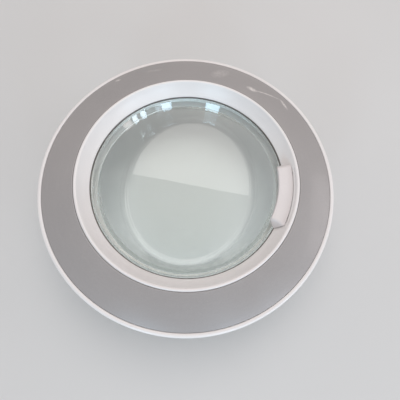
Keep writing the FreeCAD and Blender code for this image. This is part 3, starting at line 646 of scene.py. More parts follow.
class Jig(GroupTree):
    """Geometry Nodes tree that makes one kind of piece, used as a modifier and then baked."""

    def __init__(self, bench: Bench, name: str, inputs: dict[str, str]) -> None:
        """Start the tree.

        Args:
            bench: Bench that places the pieces.
            name: Name of the tree.
            inputs: Socket type of each named input beside the geometry and the material.
        """
        shape = "NodeSocketGeometry"
        inputs = {"Geometry": shape, **inputs, "Material": "NodeSocketMaterial"}
        super().__init__(name, "GeometryNodeTree", inputs, ("Geometry", shape))
        self.bench = bench
        self.start = self.given["Geometry"]

    def close(self, geometry: bpy.types.NodeSocket) -> None:
        """End the tree in real, smooth, dressed geometry.

        Args:
            geometry: What the tree has made.
        """
        real = self.add("GeometryNodeRealizeInstances", {0: geometry})
        even = self.add("GeometryNodeSetShadeSmooth", {0: real.outputs[0]})
        inputs = {"Geometry": even.outputs[0], "Material": self.given["Material"]}
        self.end(self.add("GeometryNodeSetMaterial", inputs).outputs[0])

    def form(
        self, name: str, points: Sequence[Sequence[float]], links: Sequence[Sequence[int]],
        values: dict[str, Any],
    ) -> bpy.types.Object:
        """Run the tree on points.

        Args:
            name: Name of the piece.
            points: Points that the tree starts from, in metres.
            links: Pairs of points that are joined.
            values: Values of the named inputs.

        Returns:
            The piece with a plain mesh.
        """
        mesh = bpy.data.meshes.new(name)
        mesh.from_pydata(points, links, [])
        piece = self.bench.linked(name, mesh)
        step = piece.modifiers.new(self.tree.name, "NODES")
        step.node_group = self.tree
        for label, value in values.items():
            step[self.keys[label]] = value
        return self.bench.bake(piece)


class TurnedRing(Jig):
    """Tree that turns a closed outline about the door's axis."""

    def __init__(self, bench: Bench) -> None:
        """Build the tree.

        Args:
            bench: Bench that places the pieces.
        """
        super().__init__(bench, "turned ring", {"Segments": "NodeSocketInt", "Place": "NodeSocketVector"})
        segments = self.given["Segments"]
        size = self.add("GeometryNodeAttributeDomainSize", {0: self.start}, component="MESH")
        count = size.outputs["Point Count"]
        rows = self.math("ADD", count, 1.0)
        columns = self.math("ADD", segments, 1.0)
        grid = self.add("GeometryNodeMeshGrid", {"Vertices X": columns, "Vertices Y": rows})
        index = self.add("GeometryNodeInputIndex").outputs[0]
        column = self.math("FLOOR", self.math("DIVIDE", self.math("ADD", index, 0.5), rows))
        row = self.math("SUBTRACT", index, self.math("MULTIPLY", column, rows))
        turn = self.math("DIVIDE", self.math("MULTIPLY", column, math.tau), segments)
        sample = self.add("GeometryNodeSampleIndex", {
            "Geometry": self.start,
            "Value": self.add("GeometryNodeInputPosition").outputs[0],
            "Index": self.math("FLOOR", self.math("MODULO", self.math("ADD", row, 0.5), count)),
        }, data_type="FLOAT_VECTOR", domain="POINT")
        radius, _, height = self.separate(sample.outputs[0])
        x = self.math("MULTIPLY", radius, self.math("COSINE", turn))
        y = self.math("MULTIPLY", radius, self.math("SINE", turn))
        spot = self.vector("ADD", self.combine(x, y, height), self.given["Place"])
        skin = self.add("GeometryNodeSetPosition", {"Geometry": grid.outputs[0], "Position": spot})
        merging = {"Geometry": skin.outputs[0], "Distance": MERGE_GAP}
        self.close(self.add("GeometryNodeMergeByDistance", merging).outputs[0])

    def make(
        self, name: str, outline: Sequence[Point], segments: int, material: bpy.types.Material,
    ) -> bpy.types.Object:
        """Turn an outline into a closed ring.

        Args:
            name: Name of the piece.
            outline: Closed outline, radius and height in the door's frame.
            segments: Number of steps round the axis.
            material: Material of the ring.

        Returns:
            The ring with a plain mesh.
        """
        points = [(r * MM, 0.0, z * MM) for r, z in outline]
        values = {"Segments": segments, "Place": self.bench.origin, "Material": material}
        piece = self.form(name, points, [], values)
        self.bench.turn_out(piece.data)
        return piece


class ScrewSet(Jig):
    """Tree that sets one screw at each point, turned at random about its own axis."""

    def __init__(self, bench: Bench) -> None:
        """Build the tree.

        Args:
            bench: Bench that places the pieces.
        """
        super().__init__(bench, "screw set", {"Screw": "NodeSocketObject", "Seed": "NodeSocketInt"})
        screw = self.add("GeometryNodeObjectInfo", {"Object": self.given["Screw"]})
        turn = self.add("FunctionNodeRandomValue", {
            0: (0.0, 0.0, 0.0), 1: (0.0, 0.0, math.tau), "Seed": self.given["Seed"],
        }, data_type="FLOAT_VECTOR")
        set_out = self.add("GeometryNodeInstanceOnPoints", {
            "Points": self.start, "Instance": screw.outputs["Geometry"], "Rotation": turn.outputs[0],
        })
        self.close(set_out.outputs[0])

    def make(
        self, name: str, screw: bpy.types.Object, places: Sequence[Point], seed: int,
        material: bpy.types.Material,
    ) -> bpy.types.Object:
        """Set a screw at each place.

        Args:
            name: Name of the piece.
            screw: Screw drawn about the part's origin, which is removed afterwards.
            places: Plan positions in the door's frame.
            seed: Seed of the random turns.
            material: Material of the screws.

        Returns:
            All the screws as one piece.
        """
        points = [self.bench.place((x, y, DOOR.back_plane)) for x, y in places]
        piece = self.form(name, points, [], {"Screw": screw, "Seed": seed, "Material": material})
        bpy.data.meshes.remove(screw.data)
        return self.bench.smooth(piece)


class WoundWire(Jig):
    """Tree that gives a path of points the round section of a wire."""

    sides: int = 14
    smooth_degrees: float = 60.0

    def __init__(self, bench: Bench) -> None:
        """Build the tree.

        Args:
            bench: Bench that places the pieces.
        """
        super().__init__(bench, "wound wire", {"Wire Radius": "NodeSocketFloat", "Sides": "NodeSocketInt"})
        path = self.add("GeometryNodeMeshToCurve", {0: self.start})
        section = self.add("GeometryNodeCurvePrimitiveCircle", {
            "Resolution": self.given["Sides"], "Radius": self.given["Wire Radius"],
        })
        wire = self.add("GeometryNodeCurveToMesh", {
            "Curve": path.outputs[0], "Profile Curve": section.outputs[0], "Fill Caps": True,
        })
        self.close(wire.outputs[0])

    def make(
        self, name: str, path: Sequence[Spot], radius: float, material: bpy.types.Material,
    ) -> bpy.types.Object:
        """Draw a wire along a path.

        Args:
            name: Name of the piece.
            path: Points of the wire's middle in the door's frame.
            radius: Radius of the wire.
            material: Material of the wire.

        Returns:
            The wire as a closed mesh.
        """
        points = [self.bench.place(point) for point in path]
        links = [(k, k + 1) for k in range(len(path) - 1)]
        values = {"Wire Radius": radius * MM, "Sides": self.sides, "Material": material}
        return self.bench.smooth(self.form(name, points, links, values), self.smooth_degrees)


class EffectTree(GroupTree):
    """Shader node group that gives a mask or a height over a surface."""

    def __init__(self, name: str, result: str, *labels: str) -> None:
        """Start the group.

        Args:
            name: Name of the group.
            result: Name of its output.
            labels: Names of its values, beside the vector.
        """
        inputs = {"Vector": "NodeSocketVector", **dict.fromkeys(labels, "NodeSocketFloat")}
        super().__init__(name, "ShaderNodeTree", inputs, (result, "NodeSocketFloat"))
        self.spot = self.given["Vector"]


class Effects:
    """Shader node groups that the finishes share, with the ranges of their patterns."""

    drift_range: Point = (0.3, 0.7)
    fine_share: float = 0.35
    line_range: Point = (0.52, 0.68)
    patch_scale: float = 25.0
    patch_range: Point = (0.4, 0.65)
    patch_cover: Point = (0.2, 1.0)
    smear_range: Point = (0.45, 0.72)
    speck_range: Point = (0.6, 0.72)
    upward_range: Point = (0.2, 0.9)
    # Shape of the light marks on the lacquer, which paint reflections as well as wipe smears.
    wipe_and_reflection_edge: Point = (0.1, 1.0)
    wipe_and_reflection_scale: float = 260.0
    wipe_and_reflection_range: Point = (0.3, 0.65)
    wipe_and_reflection_cover: Point = (0.25, 1.0)

    def __init__(self) -> None:
        """Build every group once."""
        self.drift = self.draw_drift()
        self.grain = self.draw_grain()
        self.lines = self.draw_lines()
        self.rubs = self.draw_rubs()
        self.dust = self.draw_dust()
        self.wipe_and_reflection = self.draw_wipe_and_reflection()

    def draw_drift(self) -> bpy.types.NodeTree:
        """Slow change of tone from place to place.

        Returns:
            The group.
        """
        tree = EffectTree("tone drift", "Mask", "Scale", "Reach")
        slow = tree.noise(tree.spot, tree.given["Scale"], detail=2.0)
        return tree.end(tree.math("MULTIPLY", tree.spread(slow, self.drift_range), tree.given["Reach"]))

    def draw_grain(self) -> bpy.types.NodeTree:
        """Fine spark grain of a mould with a slight waviness under it.

        Returns:
            The group.
        """
        tree = EffectTree("moulded grain", "Height", "Scale", "Waviness")
        fine = tree.noise(tree.spot, tree.given["Scale"], detail=2.0, rough=0.6)
        wave = tree.noise(tree.spot, tree.given["Waviness"], detail=1.0)
        return tree.end(tree.math("ADD", tree.math("MULTIPLY", fine, self.fine_share), wave))

    def draw_lines(self) -> bpy.types.NodeTree:
        """Fine lines along the first axis of the vector.

        Returns:
            The group.
        """
        tree = EffectTree("hairlines", "Mask", "Scale", "Stretch", "Cover")
        along, across, deep = tree.separate(tree.spot)
        squeezed = tree.combine(tree.math("DIVIDE", along, tree.given["Stretch"]), across, deep)
        lines = tree.noise(squeezed, tree.given["Scale"], detail=4.0, rough=0.7)
        lines = tree.spread(lines, self.line_range)
        patches = tree.noise(tree.spot, self.patch_scale, detail=2.0)
        patches = tree.spread(patches, self.patch_range, self.patch_cover)
        return tree.end(tree.math("MULTIPLY", lines, tree.math("MULTIPLY", patches, tree.given["Cover"])))

    def draw_rubs(self) -> bpy.types.NodeTree:
        """Soft smears left by wiping and handling.

        Returns:
            The group.
        """
        tree = EffectTree("rub marks", "Mask", "Scale", "Cover")
        broad = tree.noise(tree.spot, tree.given["Scale"], detail=4.0, rough=0.6)
        return tree.end(tree.math("MULTIPLY", tree.spread(broad, self.smear_range), tree.given["Cover"]))

    def draw_dust(self) -> bpy.types.NodeTree:
        """Specks that lie on faces that look up.

        Returns:
            The group.
        """
        tree = EffectTree("settled dust", "Mask", "Scale", "Cover")
        up = tree.separate(tree.add("ShaderNodeNewGeometry").outputs["Normal"])[2]
        specks = tree.noise(tree.spot, tree.given["Scale"], detail=2.0)
        specks = tree.spread(specks, self.speck_range)
        lying = tree.math("MULTIPLY", specks, tree.spread(up, self.upward_range))
        return tree.end(tree.math("MULTIPLY", lying, tree.given["Cover"]))

    def draw_wipe_and_reflection(self) -> bpy.types.NodeTree:
        """One soft, uneven light mark at a place of the vector's first two axes: partly a wipe smear,
        partly a painted reflection.

        Returns:
            The group.
        """
        tree = EffectTree("wipe mark", "Mask", "Along", "Across", "Lean", "Length", "Width", "Cover")
        given = tree.given
        x, y, _ = tree.separate(tree.spot)
        x, y = tree.math("SUBTRACT", x, given["Along"]), tree.math("SUBTRACT", y, given["Across"])
        c, s = tree.math("COSINE", given["Lean"]), tree.math("SINE", given["Lean"])
        along = tree.math("ADD", tree.math("MULTIPLY", x, c), tree.math("MULTIPLY", y, s))
        across = tree.math("SUBTRACT", tree.math("MULTIPLY", y, c), tree.math("MULTIPLY", x, s))
        along = tree.math("DIVIDE", along, given["Length"])
        across = tree.math("DIVIDE", across, given["Width"])
        away = tree.math("ADD", tree.math("MULTIPLY", along, along), tree.math("MULTIPLY", across, across))
        uneven = tree.noise(tree.spot, self.wipe_and_reflection_scale, detail=3.0)
        uneven = tree.spread(uneven, self.wipe_and_reflection_range, self.wipe_and_reflection_cover)
        mask = tree.math("MULTIPLY", tree.spread(away, self.wipe_and_reflection_edge, (1.0, 0.0)), uneven)
        return tree.end(tree.math("MULTIPLY", mask, given["Cover"]))


class Coat(NodeTree):
    """Material under construction, with one main shader."""

    def __init__(self, name: str, effects: Effects) -> None:
        """Start a material.

        Args:
            name: Name of the material.
            effects: Shared groups.
        """
        self.material = bpy.data.materials.new(name)
        self.material.use_nodes = True
        super().__init__(self.material.node_tree)
        self.effects = effects
        self.shader = self.tree.nodes["Principled BSDF"]
        self.surface = self.shader.outputs[0]
        self.spot = self.add("ShaderNodeTexCoord").outputs["Object"]

    def fix(self, constants: dict[str, float]) -> None:
        """Set values that are the same all over the surface on the main shader's own sockets."""
        for socket, value in constants.items():
            self.shader.inputs[socket].default_value = value

    def effect(self, group: bpy.types.NodeTree, **values: Any) -> bpy.types.NodeSocket:
        """Place a shared group with its own values, on object coordinates unless a vector is given."""
        return self.add("ShaderNodeGroup", {"Vector": self.spot, **values}, node_tree=group).outputs[0]

    def feed(self, socket: str, value: bpy.types.NodeSocket) -> None:
        """Link a map to a socket of the main shader."""
        self.tree.links.new(value, self.shader.inputs[socket])

    def bump(self, height: bpy.types.NodeSocket, strength: float, depth: float) -> None:
        """Link a height map to the normal, with its depth in millimetres."""
        inputs = {"Strength": strength, "Distance": depth * MM, "Height": height}
        self.feed("Normal", self.add("ShaderNodeBump", inputs).outputs[0])

    def clear_where(self, share: bpy.types.NodeSocket, colour: Colour) -> None:
        """Let light straight through a share of the surface.

        Args:
            share: Share that is clear.
            colour: Colour of the light that passes.
        """
        clear = self.add("ShaderNodeBsdfTransparent", {"Color": opaque(colour)})
        mixed = self.add("ShaderNodeMixShader", {0: share, 1: self.surface, 2: clear.outputs[0]})
        self.surface = mixed.outputs[0]
        self.tree.links.new(self.surface, self.tree.nodes["Material Output"].inputs["Surface"])

    def round_axis(self, axis: Vector) -> bpy.types.NodeSocket:
        """Way round the door's axis, radius and height, in metres.

        Args:
            axis: Point of the axis in the part's frame.

        Returns:
            The three as a vector.
        """
        x, y, z = self.separate(self.vector("SUBTRACT", self.spot, tuple(axis)))
        square = self.math("ADD", self.math("MULTIPLY", x, x), self.math("MULTIPLY", y, y))
        way = self.math("MULTIPLY", self.math("ARCTAN2", y, x), DOOR.band_middle * MM)
        return self.combine(way, self.math("SQRT", square), z)


@dataclass(frozen=True)
class Finish(ABC):
    """Surface of a kind of material."""

    name: str

    @abstractmethod
    def dress(self, coat: Coat) -> None:
        """Set and link what the finish shows."""

    def material(self, effects: Effects) -> bpy.types.Material:
        """Build the material.

        Args:
            effects: Shared groups.

        Returns:
            The material.
        """
        coat = Coat(self.name, effects)
        self.dress(coat)
        return coat.material


@dataclass(frozen=True)
class MouldedPlastic(Finish):
    """Satin injection-moulded plastic."""

    tone: Colour
    shade: Colour
    roughness: float
    dust: float = 0.25
    dust_gain: float = 0.8
    polish: float = 0.06
    scuff: float = 0.1

    def dress(self, coat: Coat) -> None:
        """Add tone drift, dust, rubbed gloss and mould grain.

        Args:
            coat: Material under construction.
        """
        effects = coat.effects
        coat.fix({"IOR": 1.53})
        drift = coat.effect(effects.drift, Scale=9.0, Reach=0.8)
        dust = coat.effect(effects.dust, Scale=600.0, Cover=self.dust)
        colour = coat.blend(drift, self.tone, self.shade)
        coat.feed("Base Color", coat.blend(dust, colour, toned(self.shade, self.dust_gain)))
        rubs = coat.effect(effects.rubs, Scale=28.0, Cover=1.0)
        rough = (self.roughness - self.polish, self.roughness + self.scuff)
        coat.feed("Roughness", coat.spread(rubs, target=rough))
        coat.bump(coat.effect(effects.grain, Scale=2600.0, Waviness=45.0), strength=0.35, depth=0.03)


@dataclass(frozen=True)
class WipeAndReflectionMark:
    """One light mark on the lacquer, partly a wipe smear and partly a painted reflection: angle and radius
    of its middle, lean, half length, half width, cover.
    """

    turn: float
    radius: float
    lean: float
    length: float
    width: float
    cover: float


@dataclass(frozen=True)
class SilverLacquer(Finish):
    """Silver-grey lacquer with fine flakes, hairlines round the ring, and light marks that are partly wipe
    smears and partly painted reflections.
    """

    tone: Colour
    shade: Colour
    # Light colour of the marks: painted reflections and wipe smears in one.
    smear_and_reflection: Colour
    roughness: float
    axis: Vector
    polish: float = 0.05
    scuff: float = 0.09
    gloss: Point = (0.3, 0.15)
    flake_scale: float = 3200.0
    flake_gain: float = 1.22
    flake_range: Point = (0.55, 1.0)
    flake_cover: Point = (0.0, 0.55)
    # Light marks, most at the top right: painted reflections of window frames in the gloss, which also
    # stand for wipe smears.
    marks: tuple[WipeAndReflectionMark, ...] = (
        WipeAndReflectionMark(67.0, 165.5, -4.0, 10.0, 4.2, 1.0),
        WipeAndReflectionMark(59.5, 174.5, -26.0, 24.0, 1.3, 1.0),
        WipeAndReflectionMark(50.4, 181.3, 16.0, 11.0, 2.3, 1.0),
        WipeAndReflectionMark(135.0, 186.5, 20.0, 5.0, 2.2, 1.0),
        WipeAndReflectionMark(85.0, 172.0, -40.0, 17.0, 10.0, 0.3),
        WipeAndReflectionMark(118.0, 178.0, 10.0, 14.0, 2.8, 0.22),
        WipeAndReflectionMark(232.0, 176.0, 5.0, 30.0, 8.0, 0.1),
    )

    def dress(self, coat: Coat) -> None:
        """Add tone drift, flakes, hairlines, light marks that are partly wipe smears and partly painted
        reflections, rubbed gloss and a slight waviness.

        Args:
            coat: Material under construction.
        """
        effects = coat.effects
        coat.fix({"IOR": 1.5, "Metallic": 0.3, "Coat Roughness": 0.08, "Coat IOR": 1.5})
        way = coat.round_axis(self.axis)
        drift = coat.effect(effects.drift, Scale=7.0, Reach=1.0)
        colour = coat.blend(drift, self.tone, self.shade)
        flakes = coat.add("ShaderNodeTexVoronoi", {"Vector": coat.spot, "Scale": self.flake_scale})
        bright = coat.separate(flakes.outputs["Color"])[0]
        light = toned(self.tone, self.flake_gain)
        colour = coat.blend(coat.spread(bright, self.flake_range, self.flake_cover), colour, light)
        lines = coat.effect(effects.lines, Vector=way, Scale=1500.0, Stretch=60.0, Cover=0.3)
        colour = coat.blend(lines, colour, light)
        # Paint each light mark into the colour: painted reflection and wipe smear in one.
        for mark in self.marks:
            smear_and_reflection = coat.effect(
                effects.wipe_and_reflection, Vector=way, Cover=mark.cover, Lean=math.radians(mark.lean),
                Along=math.radians(mark.turn) * DOOR.band_middle * MM, Across=mark.radius * MM,
                Length=mark.length * MM, Width=mark.width * MM,
            )
            colour = coat.blend(smear_and_reflection, colour, self.smear_and_reflection)
        coat.feed("Base Color", colour)
        rubs = coat.effect(effects.rubs, Vector=way, Scale=22.0, Cover=1.0)
        rough = (self.roughness - self.polish, self.roughness + self.scuff)
        coat.feed("Roughness", coat.spread(rubs, target=rough))
        coat.feed("Coat Weight", coat.spread(rubs, target=self.gloss))
        coat.bump(coat.effect(effects.grain, Scale=1800.0, Waviness=18.0), strength=0.12, depth=0.03)


@dataclass(frozen=True)
class PressedGlass(Finish):
    """Clear pressed glass that lets lamps through to what lies behind it."""

    tint: Colour
    shadow: Colour
    spent: Colour = (0.97, 0.985, 0.98)
    deepest: float = 3.5
    thick_gain: float = 0.985
    haze_range: Point = (0.4, 1.0)
    haze: Point = (0.0, 0.02)
    wave_scale: float = 11.0

    def dress(self, coat: Coat) -> None:
        """Add tint, haze and a pressed waviness, and clear the way for lamps and for deep rays.

        Args:
            coat: Material under construction.
        """
        effects = coat.effects
        coat.fix({"IOR": 1.5, "Transmission Weight": 1.0, "Metallic": 0.0})
        drift = coat.effect(effects.drift, Scale=5.0, Reach=1.0)
        coat.feed("Base Color", coat.blend(drift, self.tint, toned(self.tint, self.thick_gain)))
        rubs = coat.effect(effects.rubs, Scale=14.0, Cover=1.0)
        coat.feed("Roughness", coat.spread(rubs, self.haze_range, self.haze))
        coat.bump(coat.noise(coat.spot, self.wave_scale, detail=1.0), strength=0.25, depth=0.25)
        path = coat.add("ShaderNodeLightPath").outputs
        coat.clear_where(coat.math("GREATER_THAN", path["Ray Depth"], self.deepest), self.spent)
        coat.clear_where(path["Is Shadow Ray"], self.shadow)


@dataclass(frozen=True)
class DarkRubber(Finish):
    """Matt dark rubber with a bloom of grey."""

    tone: Colour
    bloom: Colour
    roughness: Point = (0.62, 0.8)

    def dress(self, coat: Coat) -> None:
        """Add the bloom and a coarse grain.

        Args:
            coat: Material under construction.
        """
        coat.fix({"IOR": 1.5})
        rubs = coat.effect(coat.effects.rubs, Scale=60.0, Cover=0.6)
        coat.feed("Base Color", coat.blend(rubs, self.tone, self.bloom))
        coat.feed("Roughness", coat.spread(rubs, target=self.roughness))
        coat.bump(coat.effect(coat.effects.grain, Scale=3000.0, Waviness=200.0), strength=0.4, depth=0.05)


@dataclass(frozen=True)
class WorkedMetal(Finish):
    """Drawn, plated or cast metal."""

    tone: Colour
    dull: Colour
    roughness: float
    stretch: float
    pits: float
    line_gain: float = 1.15
    tarnish: float = 0.12
    burnish: float = 0.05

    def dress(self, coat: Coat) -> None:
        """Add tarnish, drawing lines and pits.

        Args:
            coat: Material under construction.
        """
        effects = coat.effects
        coat.fix({"Metallic": 1.0})
        drift = coat.effect(effects.drift, Scale=45.0, Reach=1.0)
        lines = coat.effect(effects.lines, Scale=1400.0, Stretch=self.stretch, Cover=0.7)
        colour = coat.blend(drift, self.tone, self.dull)
        coat.feed("Base Color", coat.blend(lines, colour, toned(self.tone, self.line_gain)))
        dulled = coat.math("MULTIPLY", drift, self.tarnish)
        burnished = coat.math("MULTIPLY", lines, -self.burnish)
        rough = coat.math("ADD", coat.math("ADD", dulled, burnished), self.roughness)
        coat.feed("Roughness", rough)
        coat.bump(coat.effect(effects.grain, Scale=1500.0, Waviness=350.0), strength=self.pits, depth=0.06)


@dataclass(frozen=True)
class PaleFloor(Finish):
    """Plain pale floor that can't be seen from below."""

    tone: Colour = (0.66, 0.665, 0.665)
    shade: Colour = (0.645, 0.65, 0.65)
    roughness: Point = (0.75, 0.85)

    def dress(self, coat: Coat) -> None:
        """Add tone drift, and clear the underside.

        Args:
            coat: Material under construction.
        """
        coat.fix({"IOR": 1.45})
        drift = coat.effect(coat.effects.drift, Scale=3.0, Reach=1.0)
        coat.feed("Base Color", coat.blend(drift, self.tone, self.shade))
        coat.feed("Roughness", coat.spread(drift, target=self.roughness))
        coat.clear_where(coat.add("ShaderNodeNewGeometry").outputs["Backfacing"], (1.0, 1.0, 1.0))


def door_materials(bench: Bench, effects: Effects) -> dict[Slot, bpy.types.Material]:
    """Build every finish of the door.

    Args:
        bench: Bench that knows the door's axis.
        effects: Shared groups.

    Returns:
        The material of each slot.
    """
    finishes: dict[Slot, Finish] = {
        Slot.WHITE: MouldedPlastic("white moulding", (0.83, 0.81, 0.805), (0.78, 0.755, 0.75), 0.34),
        Slot.HANDLE: MouldedPlastic("handle moulding", (0.735, 0.7, 0.7), (0.69, 0.655, 0.655), 0.36),
        # Its third colour is the light colour of the marks that paint reflections and wipe smears.
        Slot.SILVER: SilverLacquer(
            "silver lacquer", (0.385, 0.37, 0.37), (0.352, 0.341, 0.343), (0.78, 0.75, 0.735), 0.42,
            bench.origin,
        ),
        Slot.GLASS: PressedGlass("pressed glass", (0.89, 0.93, 0.915), (0.74, 0.775, 0.765)),
        Slot.RUBBER: DarkRubber("seal rubber", (0.12, 0.11, 0.1), (0.18, 0.165, 0.155)),
        Slot.ZINC: WorkedMetal("zinc plate", (0.62, 0.62, 0.6), (0.5, 0.5, 0.49), 0.3, 12.0, 0.15),
        Slot.BRIGHT: WorkedMetal("ground pin", (0.66, 0.66, 0.67), (0.58, 0.58, 0.59), 0.2, 40.0, 0.08),
        Slot.SPRING: WorkedMetal("spring wire", (0.45, 0.45, 0.46), (0.36, 0.36, 0.37), 0.28, 25.0, 0.1),
        Slot.CAST: WorkedMetal("cast zinc", (0.5, 0.5, 0.5), (0.42, 0.42, 0.42), 0.45, 2.0, 0.5),
        Slot.BUSH: MouldedPlastic("bush moulding", (0.06, 0.06, 0.06), (0.045, 0.045, 0.045), 0.5, 0.1),
    }
    return {slot: finish.material(effects) for slot, finish in finishes.items()}


@dataclass
class Workshop:
    """What every sub-assembly works with."""

    bench: Bench
    materials: dict[Slot, bpy.types.Material]
    rings: TurnedRing
    screws: ScrewSet
    wires: WoundWire

    def deliver(
        self, piece: bpy.types.Object, body: Body, slot: Slot, node: str, twist: Twist | None = None,
    ) -> None:
        """Give a finished piece its material, its body and the node that it stands for.

        Args:
            piece: The finished piece.
            body: Body that carries it.
            slot: Material slot of the record.
            node: Name of the node that it replaces.
            twist: Turn of a spring; when given, the piece is baked in place with no body, and the turn's
                ends are worked out but not used.
        """
        piece.data.materials.clear()
        piece.data.materials.append(self.materials[slot])
        if twist is None:
            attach(piece, body.value)
        else:
            start, end = self.bench.place(twist.start), self.bench.place(twist.end)
            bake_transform(piece)
        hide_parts(node)
        LOG.info("%s rides on %s, %d faces", piece.name, body.value, len(piece.data.polygons))


@dataclass
class Pegs:
    """Screw and peg positions on the middle of the ring."""

    screw_count: int = 8
    peg_count: int = 8
    peg_radius: float = 2.0
    peg_length: float = 4.5
    peg_chamfer: float = 0.4

    def screw_places(self) -> list[Point]:
        """Plan positions of the frame screws."""
        return around(DOOR.band_middle, self.screw_count, 180.0 / self.screw_count)

    def peg_places(self) -> list[Point]:
        """Plan positions of the pegs of the silver ring."""
        return around(DOOR.band_middle, self.peg_count, 90.0 / self.peg_count)


@dataclass
class HandleSizes:
    """Sizes of the handle, of the pocket that it sits in and of the springs' wire."""

    grip_inner: float = 121.5
    grip_top: float = 13.4
    grip_crown: float = 0.8
    grip_wall: float = 3.0
    grip_lip: float = 5.0
    grip_half_length: float = 35.5
    end_lean: float = 30.0
    end_skew: float = 7.0
    edge: float = 1.5
    end_round: float = 2.2
    gap: float = 0.5
    room: float = 0.6
    slant_drop: float = 1.2
    finger_half_length: float = 30.4
    window_radius: float = 143.4
    pocket_wall: float = 2.4
    pocket_half_length: float = 38.3
    pocket_side: float = 2.0
    lever_inner: float = 29.5
    lever_outer: float = 34.5
    lever_gap: float = 0.6
    lever_lift: float = 2.4
    lever_heel: float = 17.0
    hub_radius: float = 3.95
    bore_radius: float = 2.55
    pin_radius: float = 2.5
    ear_wall: float = 4.5
    tail_reach: float = 10.0
    tail_drop: float = 5.5
    tail_half: float = 5.0
    tail_round: float = 2.0
    lug_gap: float = 0.2
    leg_gap: float = 0.1
    coil_radius: float = 3.6
    wire_radius: float = 0.6
    coil_pitch: float = 1.5
    coil_turns: float = 3.0
    coil_steps: int = 28

    @property
    def half_angle(self) -> float:
        """Half the angle of the grip at its top, in degrees."""
        return math.degrees(math.asin(self.grip_half_length / self.grip_inner))

    @property
    def finger_half_angle(self) -> float:
        """Half the angle of the room for fingers, in degrees."""
        return math.degrees(math.asin(self.finger_half_length / self.grip_inner))

    @property
    def pocket_half_angle(self) -> float:
        """Half the angle of the pocket's window, in degrees."""
        return math.degrees(math.asin(self.pocket_half_length / self.window_radius))

    @property
    def grip_outer(self) -> float:
        """Outer radius of the grip's top."""
        return DOOR.funnel_radius(self.grip_top) - self.gap

    @property
    def spring_middle(self) -> float:
        """Middle of the handle's spring along the pin."""
        return (self.tail_half + self.lever_inner) / 2

    @property
    def spring_half(self) -> float:
        """Half of the room that the spring takes up."""
        return self.coil_turns * self.coil_pitch / 2 + 2 * self.wire_radius

    def coil(self, x: float, z: float, middle: float, turns: float, first: float) -> list[Spot]:
        """Middle of a coil's wire, wound along Y.

        Args:
            x: Place of the coil's axis.
            z: Height of the coil's axis.
            middle: Middle of the coil along Y.
            turns: Number of turns.
            first: Angle of its start, from +X towards +Z, in radians.

        Returns:
            Points of the wire.
        """
        low = middle - turns * self.coil_pitch / 2
        steps = round(turns * self.coil_steps)
        path = []
        for k in range(steps + 1):
            angle = first + math.tau * turns * k / steps
            y = low + turns * self.coil_pitch * k / steps
            path.append((x + self.coil_radius * math.cos(angle), y, z + self.coil_radius * math.sin(angle)))
        return path


